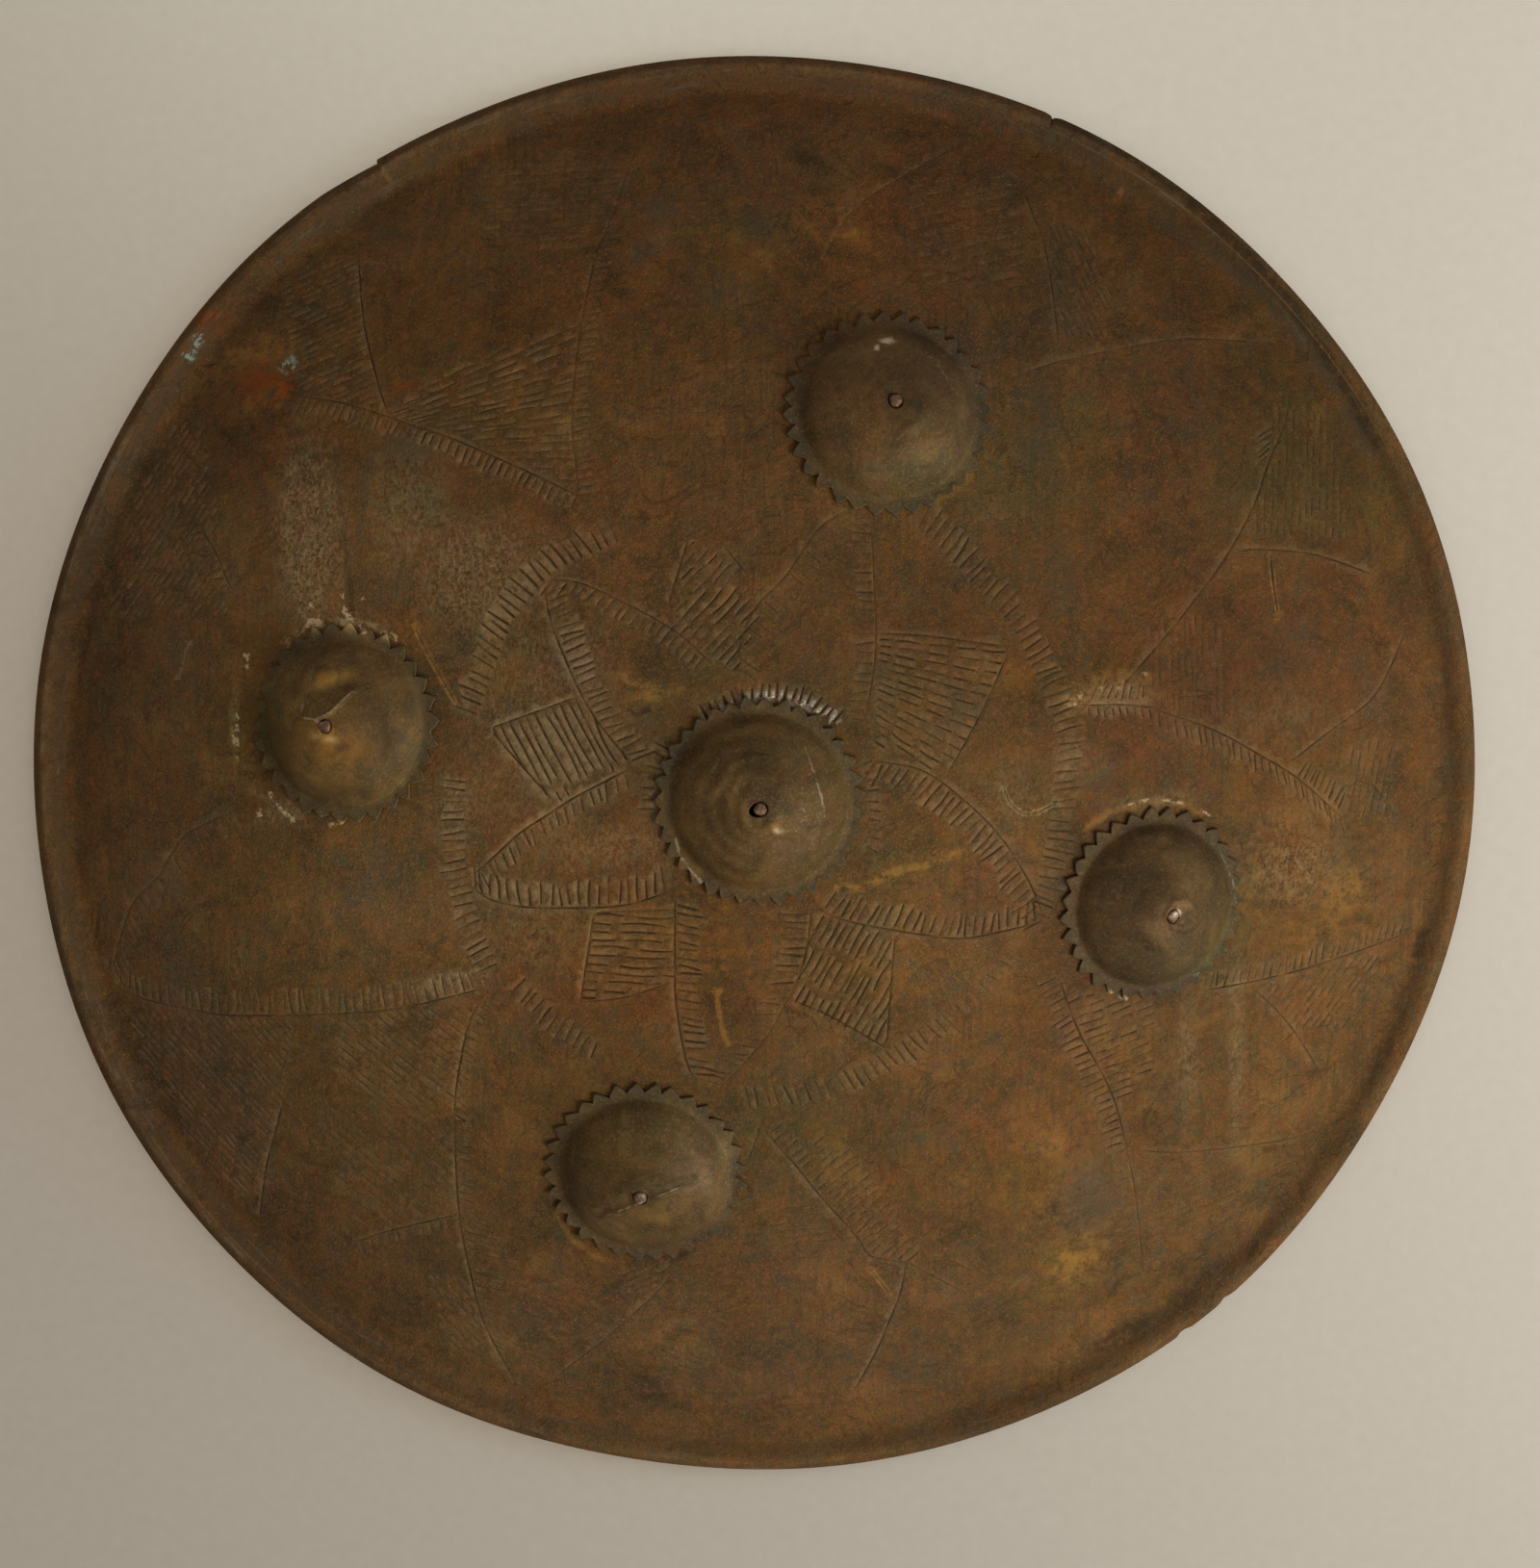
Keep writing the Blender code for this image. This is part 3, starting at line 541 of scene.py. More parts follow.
        (1070, 850, 30, 60, 0.1), (985, 1010, 40, 50, 0.1), (520, 1070, 50, 50, 0.12),
        (1000, 1150, 90, 60, 0.08), (110, 470, 30, 90, 0.14, 20), (120, 1170, 26, 80, 0.14, -30),
        (1000, 300, 70, 50, -0.15, -20), (1060, 400, 60, 70, -0.12), (780, 500, 60, 40, -0.12),
        (760, 880, 50, 24, -0.12), (850, 1180, 50, 50, -0.12), (600, 220, 60, 40, -0.1),
        (1260, 700, 80, 40, -0.15), (250, 1080, 80, 60, -0.12), (380, 1210, 60, 50, -0.12),
        (1118, 890, 22, 60, -0.2), (960, 640, 100, 30, -0.1), (250, 470, 36, 50, -0.12),
        (390, 620, 50, 40, 0.22), (328, 748, 24, 28, 0.3), (440, 960, 130, 70, 0.1),
        (865, 430, 30, 30, 0.25), (920, 492, 30, 14, 0.14), (840, 290, 30, 50, 0.12),
        (1115, 650, 40, 40, 0.15), (1175, 570, 40, 50, 0.15), (950, 1000, 70, 50, 0.13),
        (622, 1172, 34, 34, 0.15), (400, 1385, 80, 30, 0.15, -35), (100, 1110, 30, 90, 0.12),
        (600, 1370, 80, 40, 0.08), (1240, 1090, 50, 40, 0.1), (760, 818, 22, 18, 0.18),
        (1210, 905, 30, 20, 0.1),
    ),
    "red": (
        (820, 130, 200, 70, 0.8), (600, 310, 170, 40, 0.7), (940, 230, 70, 50, 0.9),
        (1190, 470, 50, 150, 0.6), (1300, 670, 180, 100, 1.0), (590, 520, 120, 80, 0.6),
        (680, 980, 200, 70, 0.7), (1030, 910, 30, 50, 0.6), (1130, 1140, 60, 70, 0.6),
        (1330, 1260, 60, 30, 0.5, 45), (1040, 470, 50, 80, -0.7), (1330, 430, 50, 130, -0.9, -10),
        (150, 520, 50, 40, -0.6), (400, 960, 100, 100, -0.4), (350, 1200, 150, 120, -0.5, -30),
        (620, 1035, 140, 32, 1.1), (950, 910, 70, 50, -0.8), (1160, 1180, 50, 60, -0.5),
        (500, 1400, 100, 40, -0.5, -25), (750, 1160, 150, 60, -1.0), (228, 312, 36, 28, 1.4),
        (1335, 870, 50, 60, 1.3), (870, 170, 40, 40, -1.3), (450, 520, 110, 36, -0.8),
        (200, 590, 90, 80, -0.7), (230, 760, 110, 60, -0.6), (735, 705, 50, 24, -1.2, 20),
        (1040, 510, 90, 40, -0.8), (1040, 300, 50, 80, -0.7), (430, 930, 50, 40, -0.7),
        (1360, 520, 50, 50, -0.8), (340, 300, 50, 60, -0.6), (250, 470, 36, 50, 0.5),
        (1200, 770, 60, 30, 0.7), (910, 450, 30, 30, 0.9), (1000, 930, 50, 50, 0.7),
        (1240, 410, 50, 60, 0.5), (1180, 530, 50, 40, 0.6), (1110, 1050, 30, 40, 0.6),
        (1220, 1000, 60, 30, -0.6), (730, 1390, 200, 50, -0.5), (900, 290, 260, 120, 0.5),
        (305, 515, 36, 40, 0.5), (350, 770, 50, 26, 1.0), (475, 490, 40, 24, 0.6),
        (655, 905, 30, 40, 0.8), (740, 1110, 60, 40, 0.6), (1040, 1170, 80, 26, 0.9, -10),
        (600, 1355, 60, 26, 0.7), (1350, 1050, 40, 50, 0.7), (250, 960, 180, 150, -0.6),
        (590, 445, 60, 30, -0.8), (1130, 450, 30, 40, -1.0), (870, 740, 50, 40, -0.9),
        (690, 790, 30, 50, -0.7), (1285, 910, 30, 60, -0.9), (1060, 1340, 110, 40, -0.6, 20),
        (1440, 530, 40, 50, -0.9), (1320, 1230, 40, 60, -0.4, 20), (672, 1195, 62, 44, 0.5),
        (100, 1090, 30, 60, 0.8), (350, 170, 50, 30, 0.8, 35), (760, 270, 40, 50, -0.7),
        (600, 190, 120, 40, -0.5, 20), (1260, 1010, 50, 40, -0.6), (1390, 850, 50, 60, -0.4),
        (1340, 380, 40, 50, 0.6, 30), (950, 670, 120, 30, 0.5), (600, 620, 80, 30, 0.3, 20),
        (1210, 960, 30, 30, 0.8),
    ),
    "yellow": (
        (170, 560, 90, 120, -0.9), (160, 850, 90, 160, -1.1), (210, 1120, 110, 120, -1.2, -30),
        (330, 1320, 150, 60, -1.0, -38), (780, 1390, 200, 70, -1.3), (560, 1410, 100, 50, -0.7, -20),
        (1010, 1350, 140, 60, -0.7, 15), (1015, 400, 50, 140, -1.3), (540, 200, 140, 50, -1.0, 20),
        (880, 160, 60, 40, -0.8), (340, 300, 60, 50, -0.4), (730, 1220, 30, 60, -1.2),
        (1130, 900, 40, 90, -0.8), (1240, 870, 50, 50, -0.5), (1210, 1010, 70, 30, -0.8),
        (850, 730, 60, 30, -0.9, -30), (690, 790, 30, 70, -0.5), (780, 290, 170, 60, 0.6),
        (945, 470, 40, 40, 1.6), (600, 640, 120, 60, 0.5), (620, 970, 130, 90, 1.3),
        (1110, 700, 70, 30, 1.4), (1330, 850, 60, 110, 1.2), (1190, 560, 50, 90, 0.7),
        (1050, 820, 60, 40, 0.5), (950, 1010, 80, 40, 0.5), (650, 1205, 40, 30, 1.2),
        (320, 745, 30, 36, 1.0), (1070, 1200, 40, 40, 0.8), (1300, 1080, 80, 30, 0.5),
        (410, 940, 90, 50, -1.8), (600, 700, 40, 30, -1.0), (1280, 900, 30, 40, -1.0),
        (1190, 1035, 60, 30, -0.9), (1440, 900, 40, 50, -0.8), (680, 240, 50, 40, -0.9),
        (140, 600, 50, 150, -0.6), (340, 1220, 140, 60, -0.6, -30), (790, 1445, 110, 24, -0.8),
        (1160, 1200, 70, 40, -0.5), (1132, 1255, 30, 36, -0.9, -20), (1112, 1300, 24, 20, 1.0, 30),
        (1070, 1225, 24, 26, 0.9, 30), (230, 310, 30, 30, 0.9), (540, 330, 100, 40, 0.5, 10),
        (525, 690, 30, 40, 1.2), (275, 745, 24, 40, 0.8), (425, 740, 26, 60, 0.8),
        (730, 1000, 60, 40, 0.8), (600, 1035, 90, 24, 0.6), (1250, 220, 50, 30, 0.9, -40),
        (930, 210, 70, 40, 0.7), (230, 305, 24, 30, 0.8), (110, 1090, 30, 60, 1.3),
        (500, 440, 60, 30, 0.9), (280, 755, 40, 40, 0.7), (880, 1020, 40, 60, 0.9),
        (1085, 845, 30, 30, 0.8), (960, 740, 50, 60, 0.6), (560, 690, 30, 24, -0.8),
    ),
}
# Streaks of the same kinds along photo pixels
Streak = namedtuple("Streak", "kind half_width strength points")
STREAKS = [Streak(kind, half_width, strength, points) for kind, half_width, strength, *points in (
    ("ochre", 5, 0.7, (430, 650), (452, 692), (475, 733)),
    ("ochre", 7, 0.9, (870, 922), (895, 921), (927, 907), (965, 897), (995, 886)),
    ("ochre", 4, 1.0, (745, 1030), (747, 1050), (752, 1075), (758, 1085)),
    ("ochre", 4, 1.0, (905, 1318), (925, 1345)),
    ("ochre", 4, 0.8, (1320, 575), (1323, 605), (1328, 640)),
    ("ochre", 3, 1.0, (385, 172), (396, 174), (405, 188)),
    ("dark", 2.5, 1.0, (393, 160), (398, 168), (405, 177)),
    ("wear", 4, 1.0, (1042, 817), (1050, 835), (1063, 845), (1078, 844), (1100, 832)),
    # Round the left cap the worn streaks also paint glints on the polished plate beside its teeth
    ("wear", 4, 0.7, (246, 716), (242, 745), (243, 776)),
    ("ochre", 7, 0.5, (247, 705), (242, 745), (244, 790)),
    ("wear", 2, 0.9, (195, 668), (190, 688), (186, 704)),
    ("dark", 6, 0.75, (350, 470), (354, 520), (358, 570), (362, 600), (366, 640)),
    ("grey", 7, 1.0, (381, 488), (378, 520), (374, 560)),
    ("ochre", 8, 0.25, (394, 470), (397, 530), (400, 590)),
    ("wear", 6, 0.9, (296, 668), (320, 652), (345, 645), (372, 647), (400, 655)),
    ("wear", 4, 0.6, (262, 822), (290, 838), (312, 850)),
    ("wear", 3, 0.4, (395, 800), (392, 830), (420, 842)),
    ("ochre", 6, 0.8, (1130, 860), (1150, 845), (1175, 838), (1200, 832), (1225, 834), (1250, 845)),
    ("ochre", 6, 0.7, (850, 352), (832, 380), (823, 410), (820, 440)),
    ("ochre", 6, 0.5, (606, 1150), (584, 1176), (572, 1212), (574, 1250), (590, 1282), (614, 1302),
     (645, 1316)),
    ("wear", 5, 0.5, (1130, 905), (1150, 1000), (1200, 1036)),
    ("shine", 12, 0.85, (735, 744), (766, 728), (800, 722)),
    ("shine", 12, 1.05, (800, 722), (835, 728), (866, 746)),
    ("shine", 12, 0.45, (690, 785), (678, 815), (678, 850)),
    # Painted shade along the outer edge of the rim at the upper right
    ("dark", 9, 0.9, (1100, 122), (1150, 147), (1200, 178), (1250, 221), (1300, 271), (1350, 327),
     (1395, 395), (1430, 460)),
    ("grey", 14, 0.8, (1200, 225), (1260, 262), (1310, 300), (1350, 350), (1390, 400)),
    ("dark", 2.5, 1.2, (672, 738), (660, 744), (655, 736)),
    ("ochre", 2.5, 0.9, (1163, 205), (1168, 196), (1174, 192)),
    ("wear", 6, 1.1, (303, 480), (300, 540), (303, 600), (316, 636)),
    # Painted glints on polished specks beside the caps' teeth
    ("cream", 4, 1.0, (318, 652), (324, 643), (331, 648)),
    ("cream", 4, 1.1, (356, 648), (360, 638), (366, 640), (372, 650), (378, 656)),
    ("cream", 4, 0.9, (394, 656), (404, 660), (411, 665)),
    ("cream", 3, 0.7, (357, 618), (358, 636)),
    ("cream", 3, 0.6, (377, 622), (378, 646)),
    ("cream", 4, 0.7, (322, 628), (331, 639)),
    ("cream", 2.5, 0.9, (257, 680), (258, 694)),
    ("cream", 4, 1.1, (246, 745), (243, 760), (246, 774)),
    ("cream", 2.5, 1.0, (246, 784), (250, 796)),
    ("cream", 2.5, 1.0, (269, 832), (272, 846)),
    ("cream", 3.5, 1.1, (281, 824), (286, 834), (296, 845), (303, 851)),
    ("cream", 3, 0.8, (345, 856), (360, 856)),
    ("cream", 3, 0.8, (1168, 838), (1186, 832), (1204, 830), (1222, 833), (1240, 836), (1256, 846)),
    ("cream", 3, 0.7, (1146, 1028), (1158, 1034), (1170, 1038)),
    # Bare scratches, and painted highlights: the lines along the caps' ridges, dents and creases stand
    # for their lit edges
    ("bare", 1.6, 0.45, (836, 775), (846, 803), (854, 830), (858, 848)),
    ("bare", 2.0, 0.25, (812, 868), (828, 862), (836, 848), (832, 833)),
    ("bare", 1.4, 0.4, (630, 1263), (668, 1249), (708, 1233)),
    ("bare", 1.8, 0.8, (316, 746), (328, 748), (343, 740), (366, 718)),
    ("bare", 1.6, 0.3, (313, 740), (316, 722), (332, 706)),
    ("bare", 1.6, 0.28, (1268, 885), (1281, 915), (1285, 950), (1277, 985), (1258, 1006), (1240, 1014)),
    ("bare", 2.2, 0.6, (702, 872), (706, 888), (718, 905), (730, 918)),
    ("bare", 2.0, 0.2, (957, 368), (972, 372), (985, 395)),
)]
# The plate is triangulated along streaks thinner than this, in photo pixels
THIN_STREAK = 9
# A streak is full up to this share of its half-width, and a patch falls off as a bell this steep
STREAK_CORE = 0.3
PATCH_STEEPNESS = 0.9
# Marks lie only where the surface faces up by more than this
FACES_UP = 0.1

# A raised line on a cap along photo pixels, or a dent if its height in metres is below zero
Ridge = namedtuple("Ridge", "boss points half_width height")
CAP_RIDGES = (
    Ridge("left", ((318, 738), (336, 724), (356, 713)), 18, -0.0016),
    Ridge("left", ((310, 748), (325, 749), (343, 740), (367, 718)), 5, 0.0006),
    Ridge("bottom", ((625, 1258), (668, 1243), (718, 1226)), 10, -0.0007),
    Ridge("bottom", ((625, 1265), (668, 1251), (708, 1235)), 5, 0.0003),
    Ridge("bottom", ((705, 1180), (735, 1205), (740, 1240)), 12, 0.0004),
    Ridge("center", ((836, 775), (846, 803), (854, 830), (858, 848)), 6, 0.0003),
    Ridge("center", ((797, 853), (808, 866), (828, 862), (836, 848), (832, 833)), 7, 0.0004),
    Ridge("center", ((757, 833), (765, 852), (780, 866)), 8, 0.0003),
    Ridge("top", ((905, 415), (915, 440), (935, 447), (955, 438), (963, 415)), 9, 0.0004),
    Ridge("top", ((935, 414), (936, 416)), 26, -0.0008),
    Ridge("right", ((1213, 950), (1219, 937), (1232, 934), (1242, 944), (1241, 958), (1230, 966),
                    (1218, 962)), 6, 0.0005),
    Ridge("right", ((1270, 885), (1283, 915), (1287, 950), (1279, 985), (1260, 1008), (1240, 1016)),
          6, 0.0004),
)
# Hammering of the caps: each noise's lumps to a metre, its layer past the number of teeth, its height
CAP_LUMPS = ((85, 0, 0.00030), (240, 7, 0.00010))
# The relief fades out between these shares of the foot's radius
RELIEF_FADE_START = 0.90
RELIEF_FADE_END = 1.08
# Rings left by hammering the caps while they were turned: they waver, and are higher in places
RIPPLE_SPACING = 0.0046
RIPPLE_WAVER = 2.5
RIPPLE_WAVER_NOISE = (110, 3.0)
RIPPLE_MEAN = 0.6
RIPPLE_SWELL_NOISE = (60, 8.0)
RIPPLE_HEIGHT = {"center": 0.00026, "top": 0.00010, "right": 0.00006, "bottom": 0.00009, "left": 0.00006}

# Grounds: places and colours of a ramp that a mottling noise runs through, its two ends first
IRON_GROUND = (
    (0.40, (0.059, 0.0360, 0.0145)),
    (0.61, (0.187, 0.0905, 0.0275)),
    (0.46, (0.094, 0.0500, 0.0172)),
    (0.54, (0.133, 0.0650, 0.0190)),
)
BRASS_GROUND = (
    (0.36, (0.067, 0.0395, 0.0128)),
    (0.66, (0.172, 0.1030, 0.0340)),
    (0.50, (0.118, 0.0685, 0.0210)),
)
PIN_GROUND = ((0.35, (0.070, 0.036, 0.020)), (0.65, (0.230, 0.128, 0.068)))
FLOOR_GROUND = ((0.3, (0.605, 0.577, 0.492)), (0.7, (0.635, 0.607, 0.522)))
# Specks over a metal: the noise's scale, where they start and are full, how much at most, colour
IRON_SPECKS = (
    (26.0, 0.48, 0.62, 0.42, (0.087, 0.059, 0.0290)),
    (41.0, 0.54, 0.63, 0.42, (0.145, 0.057, 0.0165)),
    (62.0, 0.55, 0.62, 0.42, (0.078, 0.064, 0.0380)),
    (90.0, 0.54, 0.62, 0.40, (0.175, 0.071, 0.0185)),
    (150.0, 0.53, 0.62, 0.45, (0.070, 0.054, 0.0280)),
    (230.0, 0.54, 0.62, 0.35, (0.165, 0.066, 0.0200)),
    (420.0, 0.52, 0.62, 0.28, (0.200, 0.098, 0.0270)),
    (640.0, 0.53, 0.63, 0.40, (0.050, 0.037, 0.0160)),
    (1500.0, 0.54, 0.62, 0.40, (0.260, 0.150, 0.0600)),
    (1900.0, 0.54, 0.62, 0.50, (0.045, 0.032, 0.0140)),
)
BRASS_SPECKS = (
    (60.0, 0.52, 0.62, 0.50, (0.120, 0.060, 0.0240)),
    (95.0, 0.53, 0.61, 0.55, (0.062, 0.049, 0.0220)),
    (150.0, 0.54, 0.61, 0.40, (0.130, 0.060, 0.0240)),
    (260.0, 0.50, 0.62, 0.40, (0.085, 0.064, 0.0290)),
    (420.0, 0.56, 0.66, 0.45, (0.045, 0.030, 0.0140)),
    (1100.0, 0.53, 0.63, 0.40, (0.250, 0.170, 0.0750)),
    (1500.0, 0.54, 0.63, 0.45, (0.040, 0.028, 0.0130)),
)
# The specks' noises: detail, roughness and distortion
SPECK_NOISE = (5.0, 0.68, 0.3)
# A mark shows from the first of these shares on, and is full at the second
MARK_EDGE = (0.06, 0.50)
# The colour of each kind of mark on a metal, and how much at most
# On iron the darkening tint also paints shade, and the worn tint also paints glints beside the left cap
IRON_TINTS = (
    ("grey", (0.068, 0.062, 0.038), 0.60),
    ("dark", (0.036, 0.024, 0.013), 0.75),
    ("ochre", (0.270, 0.140, 0.034), 0.75),
    ("wear", (0.172, 0.112, 0.052), 0.74),
    ("bloom", (0.240, 0.066, 0.012), 0.85),
)
# On brass the darkening tint also paints shade on the caps' upper left sides, and the golden tint also
# paints highlights
BRASS_TINTS = (
    ("grey", (0.088, 0.080, 0.048), 0.70),
    ("dark", (0.042, 0.029, 0.0125), 0.80),
    ("gold_and_glint", (0.31, 0.168, 0.036), 0.75),
)
# The second spot tint paints glints on polished specks
SPOT_TINTS = (("verdigris", (0.250, 0.320, 0.260)), ("cream", (0.430, 0.320, 0.185)))
# How much each hue mark turns red, green and blue
HUE_GAINS = (("X", "red", 0.08), ("Y", "red", -0.06), ("Z", "yellow", -0.15))
STAIN_OUTLINE = (0.045, 0.024, 0.010)
BRUSH_LINES = (0.060, 0.046, 0.022)
DEEP_RUST = (0.110, 0.032, 0.009)
PALE_FLECKS = (0.268, 0.184, 0.090)
WORN_PITS = (0.060, 0.034, 0.014)
RIM_IRON = (0.095, 0.0655, 0.0370)
SCRAPED_RIM = (0.210, 0.150, 0.085)
HOLLOW_DIRT = (0.046, 0.031, 0.015)
# Pale rubbed burrs, which also stand for painted highlights on the raised metal and on the rim's ridge
RUBBED_BURR_AND_HIGHLIGHT = (0.290, 0.205, 0.108)
# Darkens the grooves and the pits
DARK_GROOVES_AND_PITS = (0.034, 0.022, 0.010)
SHINING_IRON = (0.34, 0.30, 0.24)
DULL_FOOT = (0.088, 0.072, 0.0430)
# Painted glints and highlights, as well as polished and bare metal, in the next three colours
BRASS_POLISH_AND_GLINT = (0.62, 0.45, 0.19)
BARE_BRASS_AND_GLINT = (0.56, 0.48, 0.34)
BARE_PIN_AND_GLINT = (0.62, 0.54, 0.44)

# Lamps that light the floor alone: name, place, aim, size, power, colour, shaded by the plate or not.
# The low one's shadow of the plate is the soft one at its left
FLOOR_LAMPS = (
    ("near floor light", (0.672, -0.004, 0.60), (0.0, 0.0, 0.0), 0.5, 4.2, (1.0, 0.87, 0.77), False),
    ("second floor light", (-0.06, 0.46, 0.25), (-0.06, 0.46, 0.0), 0.15, 0.47, (1.0, 1.0, 0.90), False),
    ("low floor light", (1.36, 0.10, 0.46), (0.0, 0.0, 0.0), 0.64, 6.7, (0.46, 0.75, 1.0), True),
)
KEY_LAMP = ("key", (1.36, -0.85, 1.35), (0.0, 0.0, 0.02), 1.4, 37.5, (1.0, 0.975, 0.89))
SKY_COLOUR = (1.0, 0.875, 0.79, 1.0)
SKY_STRENGTH = 0.34
FLOOR_REACH = 4.0
SENSOR_WIDTH = 36.0


def smoothstep(low, high, value):
    share = np.clip((value - low) / (high - low), 0.0, 1.0)
    return share * share * (3.0 - 2.0 * share)


# The bead's round section, cut flat below where it rests
BEAD_CENTER_DISTANCE = SHIELD_RADIUS - BEAD_RADIUS
BEAD_CENTER_HEIGHT = math.sqrt(BEAD_RADIUS ** 2 - (REST_FLAT_WIDTH / 2) ** 2)
BEAD_START = math.pi - math.asin((VALLEY_HEIGHT - BEAD_CENTER_HEIGHT) / BEAD_RADIUS)
VALLEY_OUTER = BEAD_CENTER_DISTANCE + BEAD_RADIUS * math.cos(BEAD_START)
VALLEY_INNER = VALLEY_OUTER - VALLEY_WIDTH
DISH_CENTER_HEIGHT = VALLEY_HEIGHT - math.sqrt(DISH_RADIUS ** 2 - VALLEY_INNER ** 2)


def view_axes():
    """Right, up and backward of the camera, in the shield's frame."""
    back = Vector((
        -math.sin(VIEW_TILT) * math.sin(VIEW_TURN),
        math.sin(VIEW_TILT) * math.cos(VIEW_TURN),
        math.cos(VIEW_TILT),
    ))
    up = Vector((0.0, 1.0, 0.0))
    up = (up - back * up.dot(back)).normalized()
    return up.cross(back), up, back


RIGHT, UP, BACK = view_axes()
VIEW_POINT = VIEW_TARGET + BACK * VIEW_DISTANCE


def angle_between(angle, reference):
    """Signed turn from the reference, between -pi and pi."""
    return (angle - reference + math.pi) % (2 * math.pi) - math.pi


def lobe_offset(angle):
    """How far the rim stands out from its mean radius in one direction."""
    return sum(lobe.height * np.cos(lobe.count * angle - lobe.phase) for lobe in RIM_LOBES)


def damage_depth(angle):
    """How far the bead is driven in by the split, the knocks and the cracks."""
    past_split = angle_between(angle, SPLIT_ANGLE)
    depth = SPLIT_STEP * (1 - past_split / SPLIT_FADE) if 0 < past_split < SPLIT_FADE else 0.0
    for knock in RIM_KNOCKS:
        share = abs(angle_between(angle, knock.angle)) / knock.half_width
        depth += knock.depth * (1 - smoothstep(0, 1, share))
    for crack in CRACKS:
        share = abs(angle_between(angle, crack)) / CRACK_HALF_WIDTH
        depth += CRACK_DEPTH * (1 - smoothstep(0, 1, share))
    return depth


def rim_growth(distance):
    return smoothstep(TRUE_DISH_RADIUS, VALLEY_INNER, distance)


def photo_pixels(places):
    """Photo pixels that show points of the shield's frame, given as rows of an array."""
    away = places - np.array(VIEW_POINT)
    scale = -FOCAL_PIXELS / (away @ np.array(BACK))
    x = PHOTO_WIDTH / 2 + (away @ np.array(RIGHT)) * scale
    y = PHOTO_HEIGHT / 2 - (away @ np.array(UP)) * scale
    return x, y


def plate_point_in_photo(x, y):
    """Point (x, y) of the plate's outer face, before the rim's lobes, that a photo pixel shows."""
    ray = RIGHT * (x - PHOTO_WIDTH / 2) + UP * (PHOTO_HEIGHT / 2 - y) - BACK * FOCAL_PIXELS
    ray.normalize()
    start = VIEW_POINT - Vector((0.0, 0.0, DISH_CENTER_HEIGHT))
    along = start.dot(ray)
    reach = along ** 2 - start.dot(start) + DISH_RADIUS ** 2
    hit = start - ray * (along + math.sqrt(max(reach, 0.0)))
    distance = math.hypot(hit.x, hit.y)
    offset = lobe_offset(math.atan2(hit.y, hit.x)) * rim_growth(distance)
    return Vector((hit.x, hit.y)) * (1 - offset / max(distance, 1e-6))


def noise_at(x, y, scale, layer):
    """Smooth noise between about -1 and 1 at a place in metres."""
    return noise.noise(Vector((x * scale, y * scale, layer)))


def plate_swell(x, y):
    """Uneven beating of the plate: broad swells and shallow hammer marks, as a height."""
    broad = noise_at(x, y, *SWELL_NOISE) * SWELL_HEIGHT
    marks = noise_at(x, y, *HAMMER_NOISE) * HAMMER_DEPTH
    distance = math.hypot(x, y)
    return (broad + marks) * float(1 - smoothstep(SWELL_END, VALLEY_INNER, distance))


def dish_height(distance):
    return DISH_CENTER_HEIGHT + math.sqrt(max(DISH_RADIUS ** 2 - distance ** 2, 0.0))


def smooth_path(points, step):
    """Points at about an even step on a smooth curve through the given 2D points."""
    points = [Vector(point) for point in points]
    ends = [points[0] * 2 - points[1]] + points + [points[-1] * 2 - points[-2]]
    path = [points[0]]
    for before, start, end, after in zip(ends, ends[1:], ends[2:], ends[3:]):
        count = max(1, round((end - start).length / step))
        for index in range(1, count + 1):
            t = index / count
            curve = (
                start * 2
                + (end - before) * t
                + (before * 2 - start * 5 + end * 4 - after) * t ** 2
                + (start * 3 - before - end * 3 + after) * t ** 3
            ) / 2
            path.append(curve)
    return path


def heading(angle):
    return Vector((math.cos(angle), math.sin(angle)))


def on_face(path):
    """The part of a path that is clear of the chased face's edge."""
    return [point for point in path if point.length < FACE_EDGE - EDGE_ROOM]


